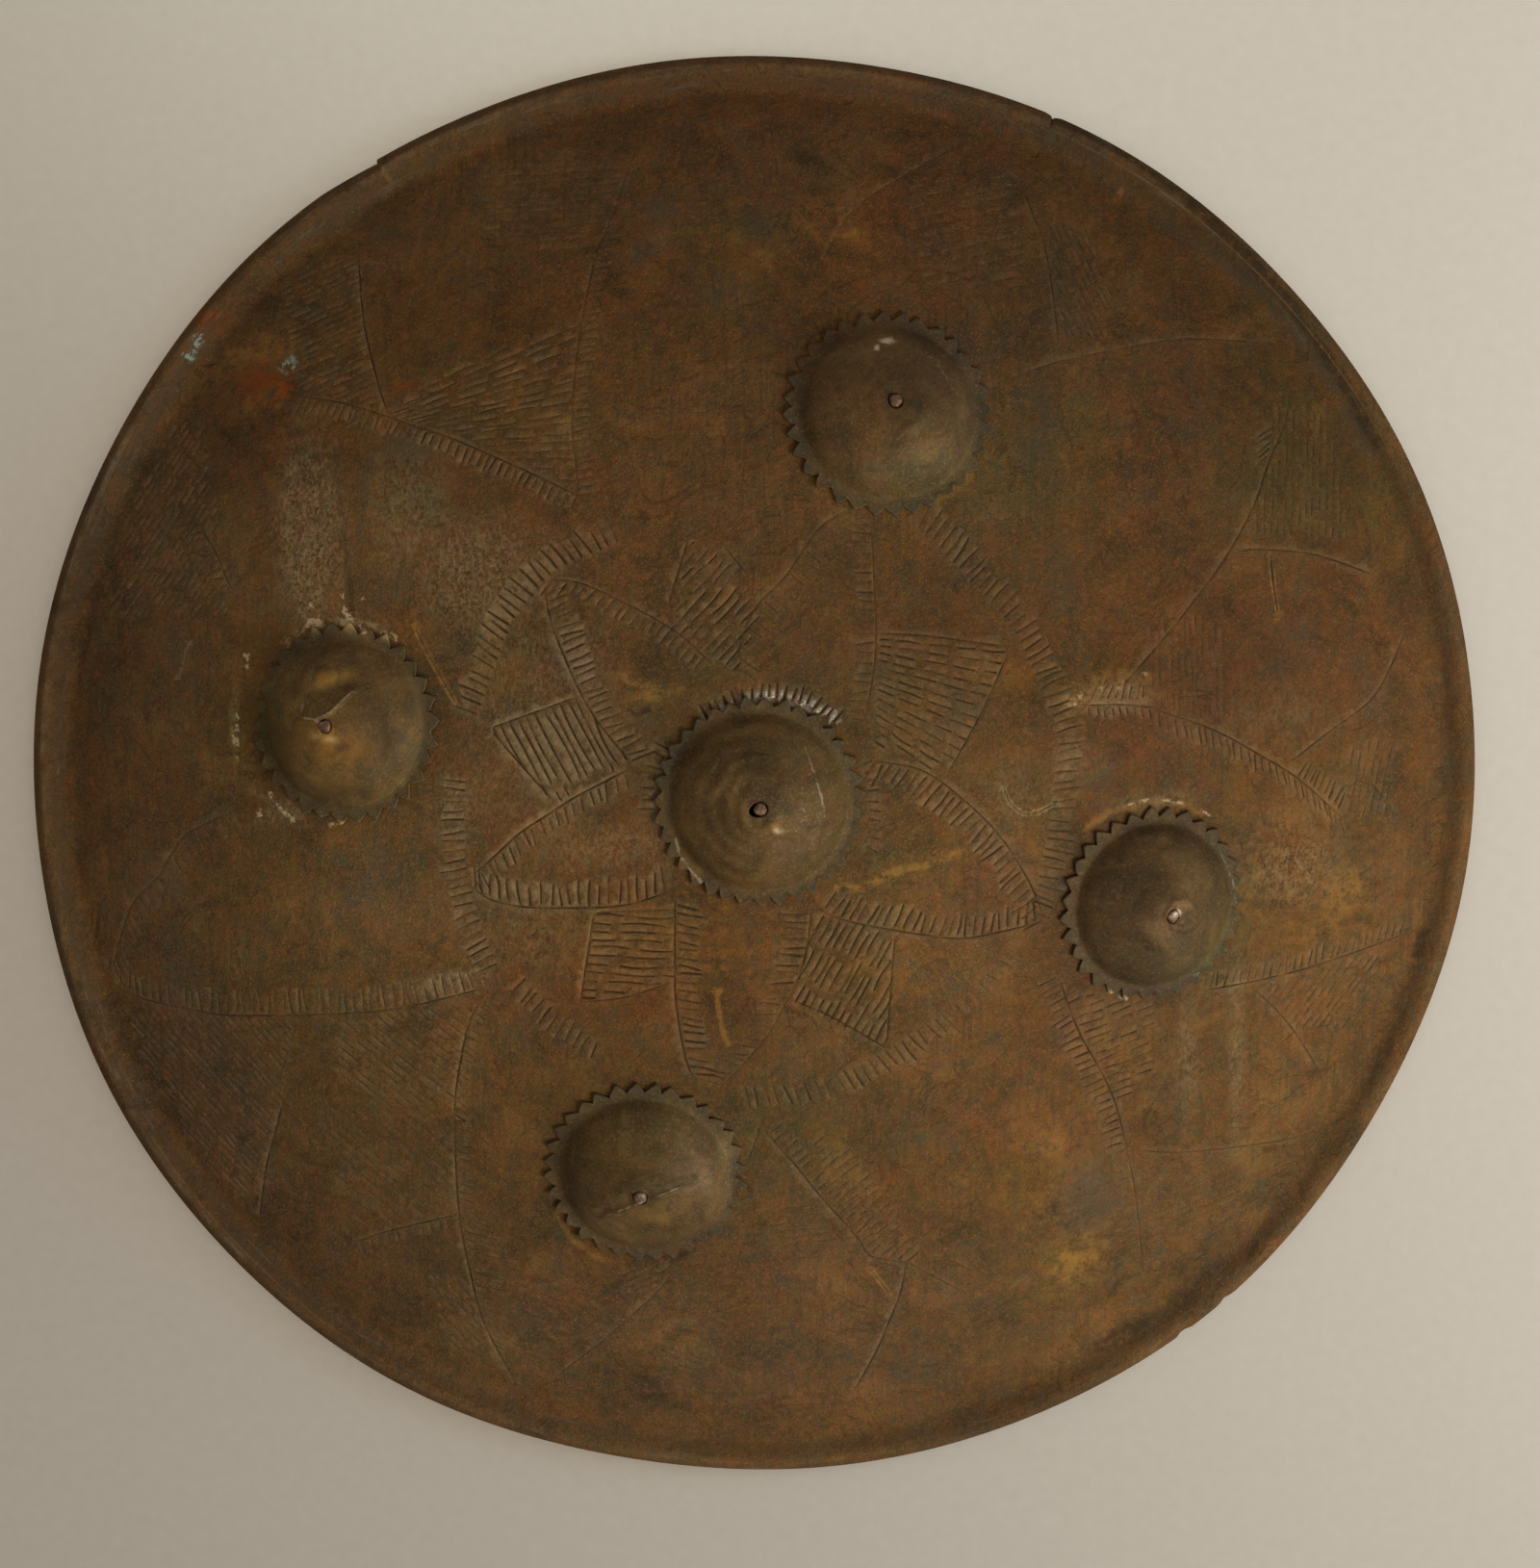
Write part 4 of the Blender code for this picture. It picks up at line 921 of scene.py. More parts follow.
class Chasing:
    """All the grooves cut into the plate, as paths in metres with a width and a depth."""

    def __init__(self, seed):
        self.random = random.Random(seed)
        self.paths = []

    def add(self, path, half_widths, depth):
        """Keep a groove: its path on the face, its half-widths at start and end, and its depth."""
        path = on_face(path)
        if len(path) > 2:
            self.paths.append((path, half_widths, depth))

    def add_stroke(self, start, end, strength, width):
        """One chisel stroke: a short lens, slightly bent, cut by a hand that varies."""
        vary = self.random.uniform
        bend = (end - start).orthogonal() * vary(*STROKE_BEND)
        inner = max(2, round((end - start).length / STROKE_STATION))
        path = [start]
        for share in np.linspace(STROKE_TIP, 1 - STROKE_TIP, inner):
            path.append(start.lerp(end, share) + bend * 4 * share * (1 - share))
        path.append(end)
        depth = STROKE_DEPTH * (THIN_STROKE_DEPTH + (1 - THIN_STROKE_DEPTH) * width)
        depth *= strength * vary(*DEPTH_SPREAD)
        half_width = STROKE_HALF_WIDTH * width * vary(*WIDTH_SPREAD)
        self.add(path, (half_width, half_width * STROKE_NARROWING), depth)

    def add_line(self, line):
        path = smooth_path([plate_point_in_photo(*point) for point in line.points], LINE_STEP)
        if line.drawn:
            self.add(path, (LINE_HALF_WIDTH, LINE_HALF_WIDTH), LINE_DEPTH * line.strength)
        if line.hatching:
            self.hatch(path, line.hatching, line.strength)

    def hatch(self, path, hatching, strength):
        """Strokes that start on a path, at about an even spacing."""
        vary = self.random.uniform
        total = sum((end - start).length for start, end in zip(path, path[1:]))
        walked, wanted = 0.0, hatching.spacing / 2
        for start, end in zip(path, path[1:]):
            step = (end - start).length
            while wanted < walked + step:
                foot = start.lerp(end, (wanted - walked) / step)
                if hatching.start is RADIAL:
                    lean = math.atan2(foot.y, foot.x) + vary(*RADIAL_SPREAD)
                else:
                    turned = hatching.start + (hatching.end - hatching.start) * wanted / total
                    lean = math.radians(turned + vary(*LEAN_SPREAD))
                way = heading(lean)
                gap = FOOT_GAP * vary(*FOOT_GAP_SPREAD)
                reach = hatching.length * vary(*LENGTH_SPREAD)
                self.add_stroke(foot + way * gap, foot + way * reach, strength, hatching.width)
                wanted += hatching.spacing * vary(*SPACING_SPREAD)
            walked += step

    def add_field(self, field):
        """Rows of strokes that fill an outline: parallel, or spreading from a focus."""
        vary = self.random.uniform
        outline = [plate_point_in_photo(*point) for point in field.outline]
        if isinstance(field.direction, tuple):
            focus = plate_point_in_photo(*field.direction)
            rays = [point - focus for point in outline]
            turns = [math.atan2(ray.y, ray.x) for ray in rays]
            step = field.spacing * len(rays) / sum(ray.length for ray in rays)
            turn = min(turns) + step / 2
            while turn < max(turns):
                way = heading(turn)
                self.add_row(way, focus.dot(Vector((-way.y, way.x))), outline, field)
                turn += step * vary(*ROW_SPREAD)
        else:
            lean = math.radians(field.direction)
            way = heading(lean)
            levels = [point.dot(Vector((-way.y, way.x))) for point in outline]
            level = min(levels) + field.spacing / 2
            while level < max(levels):
                self.add_row(way, level, outline, field)
                level += field.spacing * vary(*ROW_SPREAD)

    def add_row(self, way, level, outline, field):
        """Strokes end to end along one straight row, wherever it is inside the outline."""
        vary = self.random.uniform
        side = Vector((-way.y, way.x))
        crossings = []
        for start, end in zip(outline, outline[1:] + outline[:1]):
            low, high = start.dot(side), end.dot(side)
            if (low < level) != (high < level):
                crossings.append(start.lerp(end, (level - low) / (high - low)).dot(way))
        crossings.sort()
        for first, last in zip(crossings[::2], crossings[1::2]):
            reach = field.length or (last - first)
            at = first - (0 if field.length is None else vary(0, ROW_START * reach))
            while at < last - SHORTEST_STROKE:
                end = min(at + reach * vary(*ROW_LENGTH_SPREAD), last)
                tilt = side * vary(*ROW_TILT)
                start = max(at, first)
                if end - start > SHORTEST_STROKE:
                    ends = way * start + side * level, way * end + side * level + tilt
                    self.add_stroke(*ends, field.strength, field.width)
                at = end + vary(*ROW_GAP)


def chase_pattern():
    chasing = Chasing(CHASING_SEED)
    for line in LINES:
        chasing.add_line(line)
    for field in FIELDS:
        chasing.add_field(field)
    return chasing.paths


class GrooveField:
    """Looks up how deep the chasing is at a point of the plate."""

    def __init__(self, paths):
        self.samples = []
        for path, half_widths, depth in paths:
            self.sample(path, half_widths, depth)
        self.tree = kdtree.KDTree(len(self.samples))
        for index, (place, _, _) in enumerate(self.samples):
            self.tree.insert(place.to_3d(), index)
        self.tree.balance()
        self.reach = max(half_width for _, half_width, _ in self.samples)

    def sample(self, path, half_widths, depth):
        lengths = [(end - start).length for start, end in zip(path, path[1:])]
        total = sum(lengths)
        walked = 0.0
        for start, end, length in zip(path, path[1:], lengths):
            count = max(1, round(length / SAMPLE_STEP))
            for index in range(count + 1):
                share = (walked + length * index / count) / total
                taper = min(1.0, END_STEEPNESS * min(share, 1 - share) + END_DEPTH)
                half_width = half_widths[0] + (half_widths[1] - half_widths[0]) * share
                place = start.lerp(end, index / count)
                uneven = 1 + DEPTH_WANDER * noise.noise(place.to_3d() / WANDER_LENGTH)
                self.samples.append((place, half_width, depth * taper * max(SHALLOWEST, uneven)))
            walked += length

    def relief(self, x, y):
        """Shares of the full stroke depth cut away and of the full burr pushed up at a point."""
        cut = burr = 0.0
        for _, index, distance in self.tree.find_range((x, y, 0.0), self.reach * BURR_REACH):
            _, half_width, depth = self.samples[index]
            share = distance / half_width
            strength = depth / STROKE_DEPTH
            cut = max(cut, strength * (1 - share))
            burr = max(burr, strength * min(share, (BURR_REACH - share) / (BURR_REACH - 1)))
        return min(cut, DEEPEST), max(0.0, min(burr, 1.0) - 2 * cut)

    def nearest(self, x, y):
        return self.tree.find((x, y, 0.0))[2]


def ring_angles():
    """Even divisions of the rim, with more of them at its cracks."""
    extra = [crack + side * CRACK_HALF_WIDTH for crack in CRACKS for side in (-1, -0.5, 0, 0.5, 1)]
    angles = [2 * math.pi * step / RIM_DIVISIONS for step in range(RIM_DIVISIONS)]
    room = CRACK_HALF_WIDTH / 3
    even = [angle for angle in angles if all(abs(angle_between(angle, own)) > room for own in extra)]
    return sorted(even + extra)


def thin_streaks():
    """Thin streaks on the plate, as paths without depth."""
    paths = []
    for streak in STREAKS:
        if streak.kind != "bare" and streak.half_width < THIN_STREAK:
            path = smooth_path([plate_point_in_photo(*point) for point in streak.points], LINE_STEP)
            path = on_face(path)
            half_width = streak.half_width * PHOTO_PIXEL
            if len(path) > 2:
                paths.append((path, (half_width, half_width), 0.0))
    return paths


def plan_points(paths, field):
    """2D points and edges, in millimetres, that the plate's outer face is triangulated from."""
    points = [(FACE_EDGE * math.cos(a), FACE_EDGE * math.sin(a)) for a in ring_angles()]
    edges = [(index, (index + 1) % len(points)) for index in range(len(points))]
    for path, half_widths, _ in paths + thin_streaks():
        add_groove_points(points, edges, path, half_widths)
    row_height = PLATE_GRID * TRIANGLE_HEIGHT
    rows = math.ceil(FACE_EDGE / row_height)
    jitter = random.Random(GRID_SEED)
    for row in range(-rows, rows + 1):
        for column in range(-rows, rows + 1):
            x = (column + 0.5 * (row % 2)) * PLATE_GRID
            x += jitter.uniform(-GRID_JITTER, GRID_JITTER) * PLATE_GRID
            y = row * row_height + jitter.uniform(-GRID_JITTER, GRID_JITTER) * PLATE_GRID
            inside = math.hypot(x, y) < FACE_EDGE - EDGE_ROOM
            if inside and field.nearest(x, y) > GROOVE_ROOM:
                points.append((x, y))
    return [Vector((x * 1000, y * 1000)) for x, y in points], edges


def add_groove_points(points, edges, path, half_widths):
    """The middle and the two edges of one groove, which meet in a point at its ends."""
    first = len(points)
    points.append(tuple(path[0]))
    strips = [[first], [first], [first]]
    inner_widths = np.linspace(*half_widths, len(path))[1:-1]
    for before, place, after, half_width in zip(path, path[1:], path[2:], inner_widths):
        side = (after - before).orthogonal().normalized() * half_width
        for strip, offset in zip(strips, (-1, 0, 1)):
            strip.append(len(points))
            points.append(tuple(place + side * offset))
    for strip in strips:
        strip.append(len(points))
        edges.extend(zip(strip, strip[1:]))
    points.append(tuple(path[-1]))


def bead_point(radius, angle):
    return (
        BEAD_CENTER_DISTANCE + radius * math.cos(angle),
        BEAD_CENTER_HEIGHT + radius * math.sin(angle),
    )


def rim_profile():
    """Section from the soft hollow round the bead and under, back to the inner pole."""
    flat_half_angle = math.asin(REST_FLAT_WIDTH / 2 / BEAD_RADIUS)
    turns = np.linspace(0.0, -math.pi / 2 + flat_half_angle, BEAD_STEPS)
    outer = list(LEDGE_CURVE) + [bead_point(BEAD_RADIUS, turn) for turn in turns]
    flat_end = bead_point(BEAD_RADIUS, -math.pi / 2 - flat_half_angle)
    curl_edge = bead_point(BEAD_RADIUS, BEAD_CURL_END)
    inner_radius = BEAD_RADIUS - PLATE_THICKNESS
    under_valley = VALLEY_HEIGHT - PLATE_THICKNESS
    inner_start = math.pi - math.asin((under_valley - BEAD_CENTER_HEIGHT) / inner_radius)
    turns = np.linspace(BEAD_CURL_END, 2 * math.pi + inner_start, BEAD_STEPS)
    curl = [bead_point(inner_radius, turn) for turn in turns]
    back_radius = DISH_RADIUS - PLATE_THICKNESS
    inner_edge = math.acos((under_valley - DISH_CENTER_HEIGHT) / back_radius)
    back = [
        (back_radius * math.sin(turn), DISH_CENTER_HEIGHT + back_radius * math.cos(turn))
        for turn in np.linspace(inner_edge, 0.0, BACK_STEPS)
    ]
    return outer + [flat_end, curl_edge] + curl + back


def rim_place(distance, angle):
    """A distance moved by the rim's lobes and damage."""
    reach = distance + (lobe_offset(angle) - RIM_INSET) * rim_growth(distance)
    return reach - damage_depth(angle) * smoothstep(VALLEY_INNER - DAMAGE_WIDTH, VALLEY_OUTER, distance)


def build_plate(middle):
    """The whole plate: chased face, valley, rolled bead and hammered back, as one mesh."""
    bm = bmesh.new()
    layers = [bm.verts.layers.float.new(name) for name in ("chasing", "burr", "bead", "hollow")]
    edge_ring = build_face(bm, layers)
    build_rim(bm, layers, edge_ring)
    return finish_mesh("shield_plate", bm, middle)


def build_face(bm, layers):
    """The chased face. Returns the ring of its edge."""
    paths = chase_pattern()
    field = GrooveField(paths)
    plan, edges = plan_points(paths, field)
    flat, _, faces, sources, _, _ = geometry.delaunay_2d_cdt(plan, edges, [], 0, MERGE_DISTANCE)
    ring = [None] * len(ring_angles())
    for index, source in enumerate(sources):
        for own in source:
            if own < len(ring):
                ring[own] = index
    face_verts = []
    for place in flat:
        x, y = place.x / 1000, place.y / 1000
        distance, angle = math.hypot(x, y), math.atan2(y, x)
        cut, burr = field.relief(x, y)
        share = float(rim_place(distance, angle)) / max(distance, 1e-6)
        height = dish_height(distance) + plate_swell(x, y) + BURR_HEIGHT * burr - STROKE_DEPTH * cut
        vertex = bm.verts.new((x * share, y * share, height))
        vertex[layers[0]] = cut
        vertex[layers[1]] = burr
        face_verts.append(vertex)
    for face in faces:
        bm.faces.new([face_verts[index] for index in face])
    return [face_verts[index] for index in ring]


def build_rim(bm, layers, edge_ring):
    """The hollow, the ledge, the bead and the back, from the face's edge to the inner pole."""
    _, burr, bead, hollow = layers
    angles = ring_angles()
    rings = [edge_ring]
    profile = rim_profile()
    for distance, height in profile[:-1]:
        on_bead = float(smoothstep(BEAD_COLOUR_START, BEAD_COLOUR_FULL, distance))
        in_hollow = max(0.0, 1 - abs(distance - HOLLOW_MIDDLE) / HOLLOW_REACH)
        on_ridge = max(0.0, 1 - abs(distance - RIDGE_DISTANCE) / RIDGE_REACH)
        on_ridge *= height > BEAD_CENTER_HEIGHT
        rings.append([rim_vertex(bm, distance, height, angle) for angle in angles])
        for vertex, angle in zip(rings[-1], angles):
            # Painted light: the ridge and the bead are painted paler on the left side, where the key
            # lamp catches them
            vertex[burr] = on_ridge * rubbed_share(angle) * pale_share_with_painted_light(angle, *RIDGE_RUB_AND_PAINTED_LIGHT)
            vertex[bead] = on_bead * pale_share_with_painted_light(angle, *BEAD_DUST_AND_PAINTED_LIGHT)
            vertex[hollow] = in_hollow
    join_rings(bm, rings)
    pole = bm.verts.new((0.0, 0.0, profile[-1][1]))
    last = rings[-1]
    for index in range(len(last)):
        bm.faces.new((last[index], last[(index + 1) % len(last)], pole))


def join_rings(bm, rings):
    """Faces between each ring of points and the next."""
    sides = len(rings[0])
    for near, far in zip(rings, rings[1:]):
        for index in range(sides):
            after = (index + 1) % sides
            bm.faces.new((near[index], near[after], far[after], far[index]))


def pale_share_with_painted_light(angle, mean, swing):
    """A share that swings round its mean, highest in the rim's palest direction. The swing is painted
    light.
    """
    return mean + swing * math.cos(angle - PAINTED_LIGHT_DIRECTION)


def rubbed_share(angle):
    """How much the rim's outer ridge is rubbed in one direction, in uneven lengths."""
    share = RUBBED_MEAN
    for (scale, layer), weight in RUBBED_NOISES:
        share += weight * noise_at(math.cos(angle), math.sin(angle), scale, layer)
    return min(1.0, max(0.0, share))


def rim_vertex(bm, distance, height, angle):
    """A point of the rim or the back, with the hollow's and the bead's unevenness or hammer marks."""
    reach = float(rim_place(distance, angle))
    x, y = reach * math.cos(angle), reach * math.sin(angle)
    coarse = noise_at(x, y, *BEAD_WAVE_NOISE)
    lumps = noise_at(x, y, BEAD_LUMPS_SCALE, distance * BEAD_LAYERS)
    inward = 0.0
    if distance < FACE_EDGE:
        height += plate_swell(x, y)
    elif height > BEAD_CENTER_HEIGHT:
        height += coarse * BEAD_WAVE + lumps * BEAD_LUMPS
        inward = abs(coarse) * BEAD_WAVE + abs(lumps) * EDGE_LUMPS
        inward *= float(smoothstep(UNEVEN_EDGE_START, UNEVEN_EDGE_FULL, distance))
    return bm.verts.new((x * (1 - inward / reach), y * (1 - inward / reach), height))


def finish_mesh(name, bm, middle, matrix=Matrix.Identity(4)):
    """Turn a bmesh in the shield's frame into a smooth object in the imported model's frame."""
    bmesh.ops.recalc_face_normals(bm, faces=bm.faces)
    bmesh.ops.transform(bm, matrix=Matrix.Translation(middle) @ matrix, verts=bm.verts)
    mesh = bpy.data.meshes.new(name)
    bm.to_mesh(mesh)
    bm.free()
    mesh.shade_smooth()
    return add_object(name, mesh)


def add_object(name, data):
    item = bpy.data.objects.new(name, data)
    bpy.context.scene.collection.objects.link(item)
    return item


def paint_patches(item, middle):
    """Store each kind of mark as a value from 0 to 1 at every point that faces up."""
    mesh = item.data
    places = np.empty(len(mesh.vertices) * 3)
    mesh.vertices.foreach_get("co", places)
    x, y = photo_pixels(places.reshape(-1, 3) - np.array(middle))
    normals = np.empty(len(mesh.vertices) * 3)
    mesh.vertex_normals.foreach_get("vector", normals)
    faces_up = normals.reshape(-1, 3)[:, 2] > FACES_UP
    for kind, patches in PATCHES.items():
        amount = np.zeros(len(x))
        for patch in patches:
            share = patch_share(Patch(*patch), x, y)
            amount = amount + share if kind in SHIFT_KINDS else np.maximum(amount, share)
        for streak in STREAKS:
            if streak.kind == kind:
                share = path_distance(streak.points, x, y) / streak.half_width
                share = 1 - smoothstep(STREAK_CORE, 1.0, share)
                amount = np.maximum(amount, streak.strength * share)
        layer = mesh.attributes.new(kind, "FLOAT", "POINT")
        layer.data.foreach_set("value", np.where(faces_up, amount, 0.0))


def patch_share(patch, x, y):
    """How strongly a patch covers each photo pixel."""
    turn = math.radians(-patch.turn)
    right, down = x - patch.x, y - patch.y
    along = (right * math.cos(turn) + down * math.sin(turn)) / patch.half_width
    across = (down * math.cos(turn) - right * math.sin(turn)) / patch.half_height
    return patch.strength * np.exp(-PATCH_STEEPNESS * (along ** 2 + across ** 2))


def path_distance(points, x, y):
    """Distance in pixels from each photo pixel to a path of photo pixels."""
    nearest = np.full(len(x), np.inf)
    for (start_x, start_y), (end_x, end_y) in zip(points, points[1:]):
        step_x, step_y = end_x - start_x, end_y - start_y
        share = ((x - start_x) * step_x + (y - start_y) * step_y) / (step_x ** 2 + step_y ** 2)
        share = np.clip(share, 0.0, 1.0)
        distance = np.hypot(x - start_x - share * step_x, y - start_y - share * step_y)
        nearest = np.minimum(nearest, distance)
    return nearest


def boss_frame(boss):
    """Frame on the plate's outer face: origin under the cap, +Z out of the plate."""
    polar = math.asin(boss.distance / DISH_RADIUS)
    distance = DISH_RADIUS * math.sin(polar)
    height = DISH_CENTER_HEIGHT + DISH_RADIUS * math.cos(polar)
    place = Vector((distance * math.cos(boss.direction), distance * math.sin(boss.direction), height))
    lean = Matrix.Rotation(boss.direction, 4, "Z") @ Matrix.Rotation(polar, 4, "Y")
    return Matrix.Translation(place) @ lean @ Matrix.Rotation(-boss.direction, 4, "Z")


def seat_height(distance):
    """Underside of a flange above its own frame, following the dish with the clearance."""
    return math.sqrt(DISH_RADIUS ** 2 - distance ** 2) - DISH_RADIUS + CLEARANCE


def tooth_edge(boss, vary):
    """Angle and reach of the flange's edge at every division: uneven teeth between sharp notches."""
    angles, reaches = [], []
    base = boss.size * (CAP_FOOT_RADIUS + FLANGE_WIDTH)
    for tooth in range(boss.teeth):
        lean = vary.uniform(*TOOTH_SKEW)
        tip = vary.uniform(*TIP_SPREAD)
        notch = NOTCH_DEPTH + vary.uniform(*NOTCH_SPREAD)
        for place in range(TOOTH_DIVISIONS):
            share = place / TOOTH_DIVISIONS
            rise = (1 - abs(2 * share - 1)) ** TOOTH_BULGE
            skewed = share + lean * math.sin(math.pi * share) - 0.5
            angles.append(boss.turn + 2 * math.pi * (tooth + skewed) / boss.teeth)
            reaches.append(base + tip * rise - notch * (1 - rise))
    return np.array(angles), np.array(reaches)


def cap_rings(boss):
    """Distance and height of the rings on the cap's outer face, from the hole to the flange."""
    foot = boss.size * CAP_FOOT_RADIUS
    rise = boss.size * CAP_HEIGHT
    curve = smooth_path(CAP_SECTION, SECTION_STEP)
    shares = [point for point in curve if point.x > boss.hole / foot]
    picks = np.linspace(0, len(shares) - 1, CAP_RINGS).round().astype(int)
    foot_height = seat_height(foot) + BOSS_SHEET
    return [(shares[pick].x * foot, foot_height + shares[pick].y * rise) for pick in picks]


def noise_values(x, y, scale, layer):
    """Smooth noise at each point of two arrays."""
    return np.array([noise_at(own_x, own_y, scale, layer) for own_x, own_y in zip(x, y)])


def cap_relief(boss, x, y, photo_x, photo_y):
    """Height that hammering, dents and creases add to a cap's smooth form."""
    relief = np.zeros(len(x))
    for scale, layer, height in CAP_LUMPS:
        relief += noise_values(x, y, scale, boss.teeth + layer) * height
    waver = noise_values(x, y, *RIPPLE_WAVER_NOISE) * RIPPLE_WAVER
    rings = np.sin(np.hypot(x, y) / RIPPLE_SPACING * 2 * math.pi + waver)
    swell = RIPPLE_MEAN + noise_values(x, y, *RIPPLE_SWELL_NOISE)
    relief += rings * RIPPLE_HEIGHT[boss.name] * swell
    for ridge in CAP_RIDGES:
        if ridge.boss == boss.name:
            share = path_distance(ridge.points, photo_x, photo_y) / ridge.half_width
            relief += ridge.height * (1 - smoothstep(0, 1, share))
    return relief


def cap_places(boss):
    """Rings of points, in the cap's own frame, from its hole over its dome to the teeth."""
    vary = random.Random(boss.teeth * 7 + 1)
    angles, reaches = tooth_edge(boss, vary)
    bends = np.repeat([vary.uniform(*TOOTH_BEND) for _ in range(boss.teeth)], TOOTH_DIVISIONS)
    rings, edges = [], []
    section = cap_rings(boss)
    foot = boss.size * CAP_FOOT_RADIUS
    for distance, height in section:
        gape = boss.gape * float(1 - smoothstep(boss.hole, GAPE_END, distance))
        gape = gape * np.maximum(0, np.cos(angles - GAPE_DIRECTION))
        x = distance * np.cos(angles) + gape * math.cos(GAPE_DIRECTION)
        y = distance * np.sin(angles) + gape * math.sin(GAPE_DIRECTION)
        rings.append(np.stack((x, y, np.full(len(angles), height)), 1))
        dull = float(smoothstep(DULL_START * foot, DULL_END * foot, distance))
        edges.append(DULL_AT_FOOT * dull)
    inner = section[-1][0]
    for ring in range(1, FLANGE_RINGS + 1):
        share = ring / FLANGE_RINGS
        reach = inner + (reaches - inner) * share
        lifted = BOSS_SHEET + bends * share ** 2
        height = np.sqrt(DISH_RADIUS ** 2 - reach ** 2) - DISH_RADIUS + CLEARANCE + lifted
        rings.append(np.stack((reach * np.cos(angles), reach * np.sin(angles), height), 1))
        edges.append(DULL_AT_FOOT + (1 - DULL_AT_FOOT) * share)
    return np.array(rings), edges


def build_cap(boss, middle):
    """One brass cap: hammered dome, soft foot and toothed flange, with its true sheet thickness."""
    matrix = boss_frame(boss)
    places, edges = cap_places(boss)
    flat = places.reshape(-1, 3)
    turned = flat @ np.array(matrix.to_3x3()).T + np.array(matrix.translation)
    relief = cap_relief(boss, flat[:, 0], flat[:, 1], *photo_pixels(turned))
    foot = boss.size * CAP_FOOT_RADIUS
    distance = np.hypot(flat[:, 0], flat[:, 1])
    fade = 1 - smoothstep(RELIEF_FADE_START * foot, RELIEF_FADE_END * foot, distance)
    flat[:, 2] += relief * fade
    bm = bmesh.new()
    edge = bm.verts.layers.float.new("edge")
    rings = []
    for ring, share in zip(places, edges):
        rings.append([bm.verts.new(place) for place in ring])
        for vertex in rings[-1]:
            vertex[edge] = share
    rings.append([bm.verts.new((v.co.x, v.co.y, v.co.z - BOSS_SHEET)) for v in rings[-1]])
    for index in INSIDE_RINGS:
        inner = [(x * CAP_INSIDE, y * CAP_INSIDE, z - BOSS_SHEET) for x, y, z in places[index]]
        rings.append([bm.verts.new(place) for place in inner])
    join_rings(bm, rings + rings[:1])
    return finish_mesh("cap_" + boss.name, bm, middle, matrix)


def build_pin(boss, middle):
    """One rivet: an uneven hammered end above the cap, and a low round head behind the plate."""
    vary = random.Random(boss.teeth)
    foot = boss.size * CAP_FOOT_RADIUS
    last_turn = math.acos((BOSS_HOLE_RADIUS / foot) ** (1 / CAP_CONE))
    top = seat_height(foot) + BOSS_SHEET + boss.size * CAP_HEIGHT * math.sin(last_turn) + RIVET_PROUD
    back = -PLATE_THICKNESS - 2 * CLEARANCE
    turns = [2 * math.pi * side / PIN_SIDES for side in range(PIN_SIDES)]
    bm = bmesh.new()
    rings = []
    for share, z in [(share, top - drop) for share, drop in PIN_END] + [(PIN_END[-1][0], back)]:
        rings.append([])
        for turn in turns:
            corner = PIN_CORNER_REACH * math.sin(PIN_CORNERS * turn + boss.teeth)
            uneven = 1 + corner + vary.uniform(*PIN_SPREAD)
            distance = min(RIVET_RADIUS, RIVET_RADIUS * share * uneven)
            x, y = distance * math.cos(turn), distance * math.sin(turn)
            dent = PIN_DENTS * noise_at(x, y, *PIN_DENTS_NOISE)
            rings[-1].append(bm.verts.new((x, y, z - abs(dent))))
    for share, drop in PIN_HEAD:
        distance, z = RIVET_HEAD_RADIUS * share, back - RIVET_HEAD_HEIGHT * drop
        rings.append([bm.verts.new((distance * math.cos(t), distance * math.sin(t), z)) for t in turns])
    join_rings(bm, rings)
    bm.faces.new(rings[0])
    bm.faces.new(list(reversed(rings[-1])))
    return finish_mesh("pin_" + boss.name, bm, middle, boss_frame(boss))


def add_node(tree, kind, inputs=None, **properties):
    """A shader node with its properties set and its inputs set or linked."""
    made = tree.nodes.new(kind)
    for name, value in properties.items():
        setattr(made, name, value)
    for name, value in (inputs or {}).items():
        if isinstance(value, bpy.types.NodeSocket):
            tree.links.new(value, made.inputs[name])
        else:
            made.inputs[name].default_value = value
    return made


def noise_value(tree, place, scale, detail=4.0, roughness=0.55, distortion=0.0):
    inputs = {"Vector": place, "Scale": scale, "Detail": detail, "Roughness": roughness}
    inputs["Distortion"] = distortion
    return add_node(tree, "ShaderNodeTexNoise", inputs).outputs["Fac"]


def calculate(tree, operation, first, second=0.0, third=0.0, clamp=False):
    inputs = {0: first, 1: second, 2: third}
    return add_node(tree, "ShaderNodeMath", inputs, operation=operation, use_clamp=clamp).outputs[0]


def multiply(tree, first, second):
    return calculate(tree, "MULTIPLY", first, second)


def remap(tree, value, low, high, new_low=0.0, new_high=1.0):
    inputs = {"Value": value, "From Min": low, "From Max": high, "To Min": new_low, "To Max": new_high}
    return add_node(tree, "ShaderNodeMapRange", inputs).outputs["Result"]


def blend_colour(tree, share, first, second, mode="MIX"):
    made = add_node(tree, "ShaderNodeMix", data_type="RGBA", blend_type=mode)
    for socket, value in ((made.inputs[0], share), (made.inputs[6], first), (made.inputs[7], second)):
        if isinstance(value, bpy.types.NodeSocket):
            tree.links.new(value, socket)
        elif isinstance(value, tuple):
            socket.default_value = (*value, 1.0)
        else:
            socket.default_value = value
    return made.outputs[2]


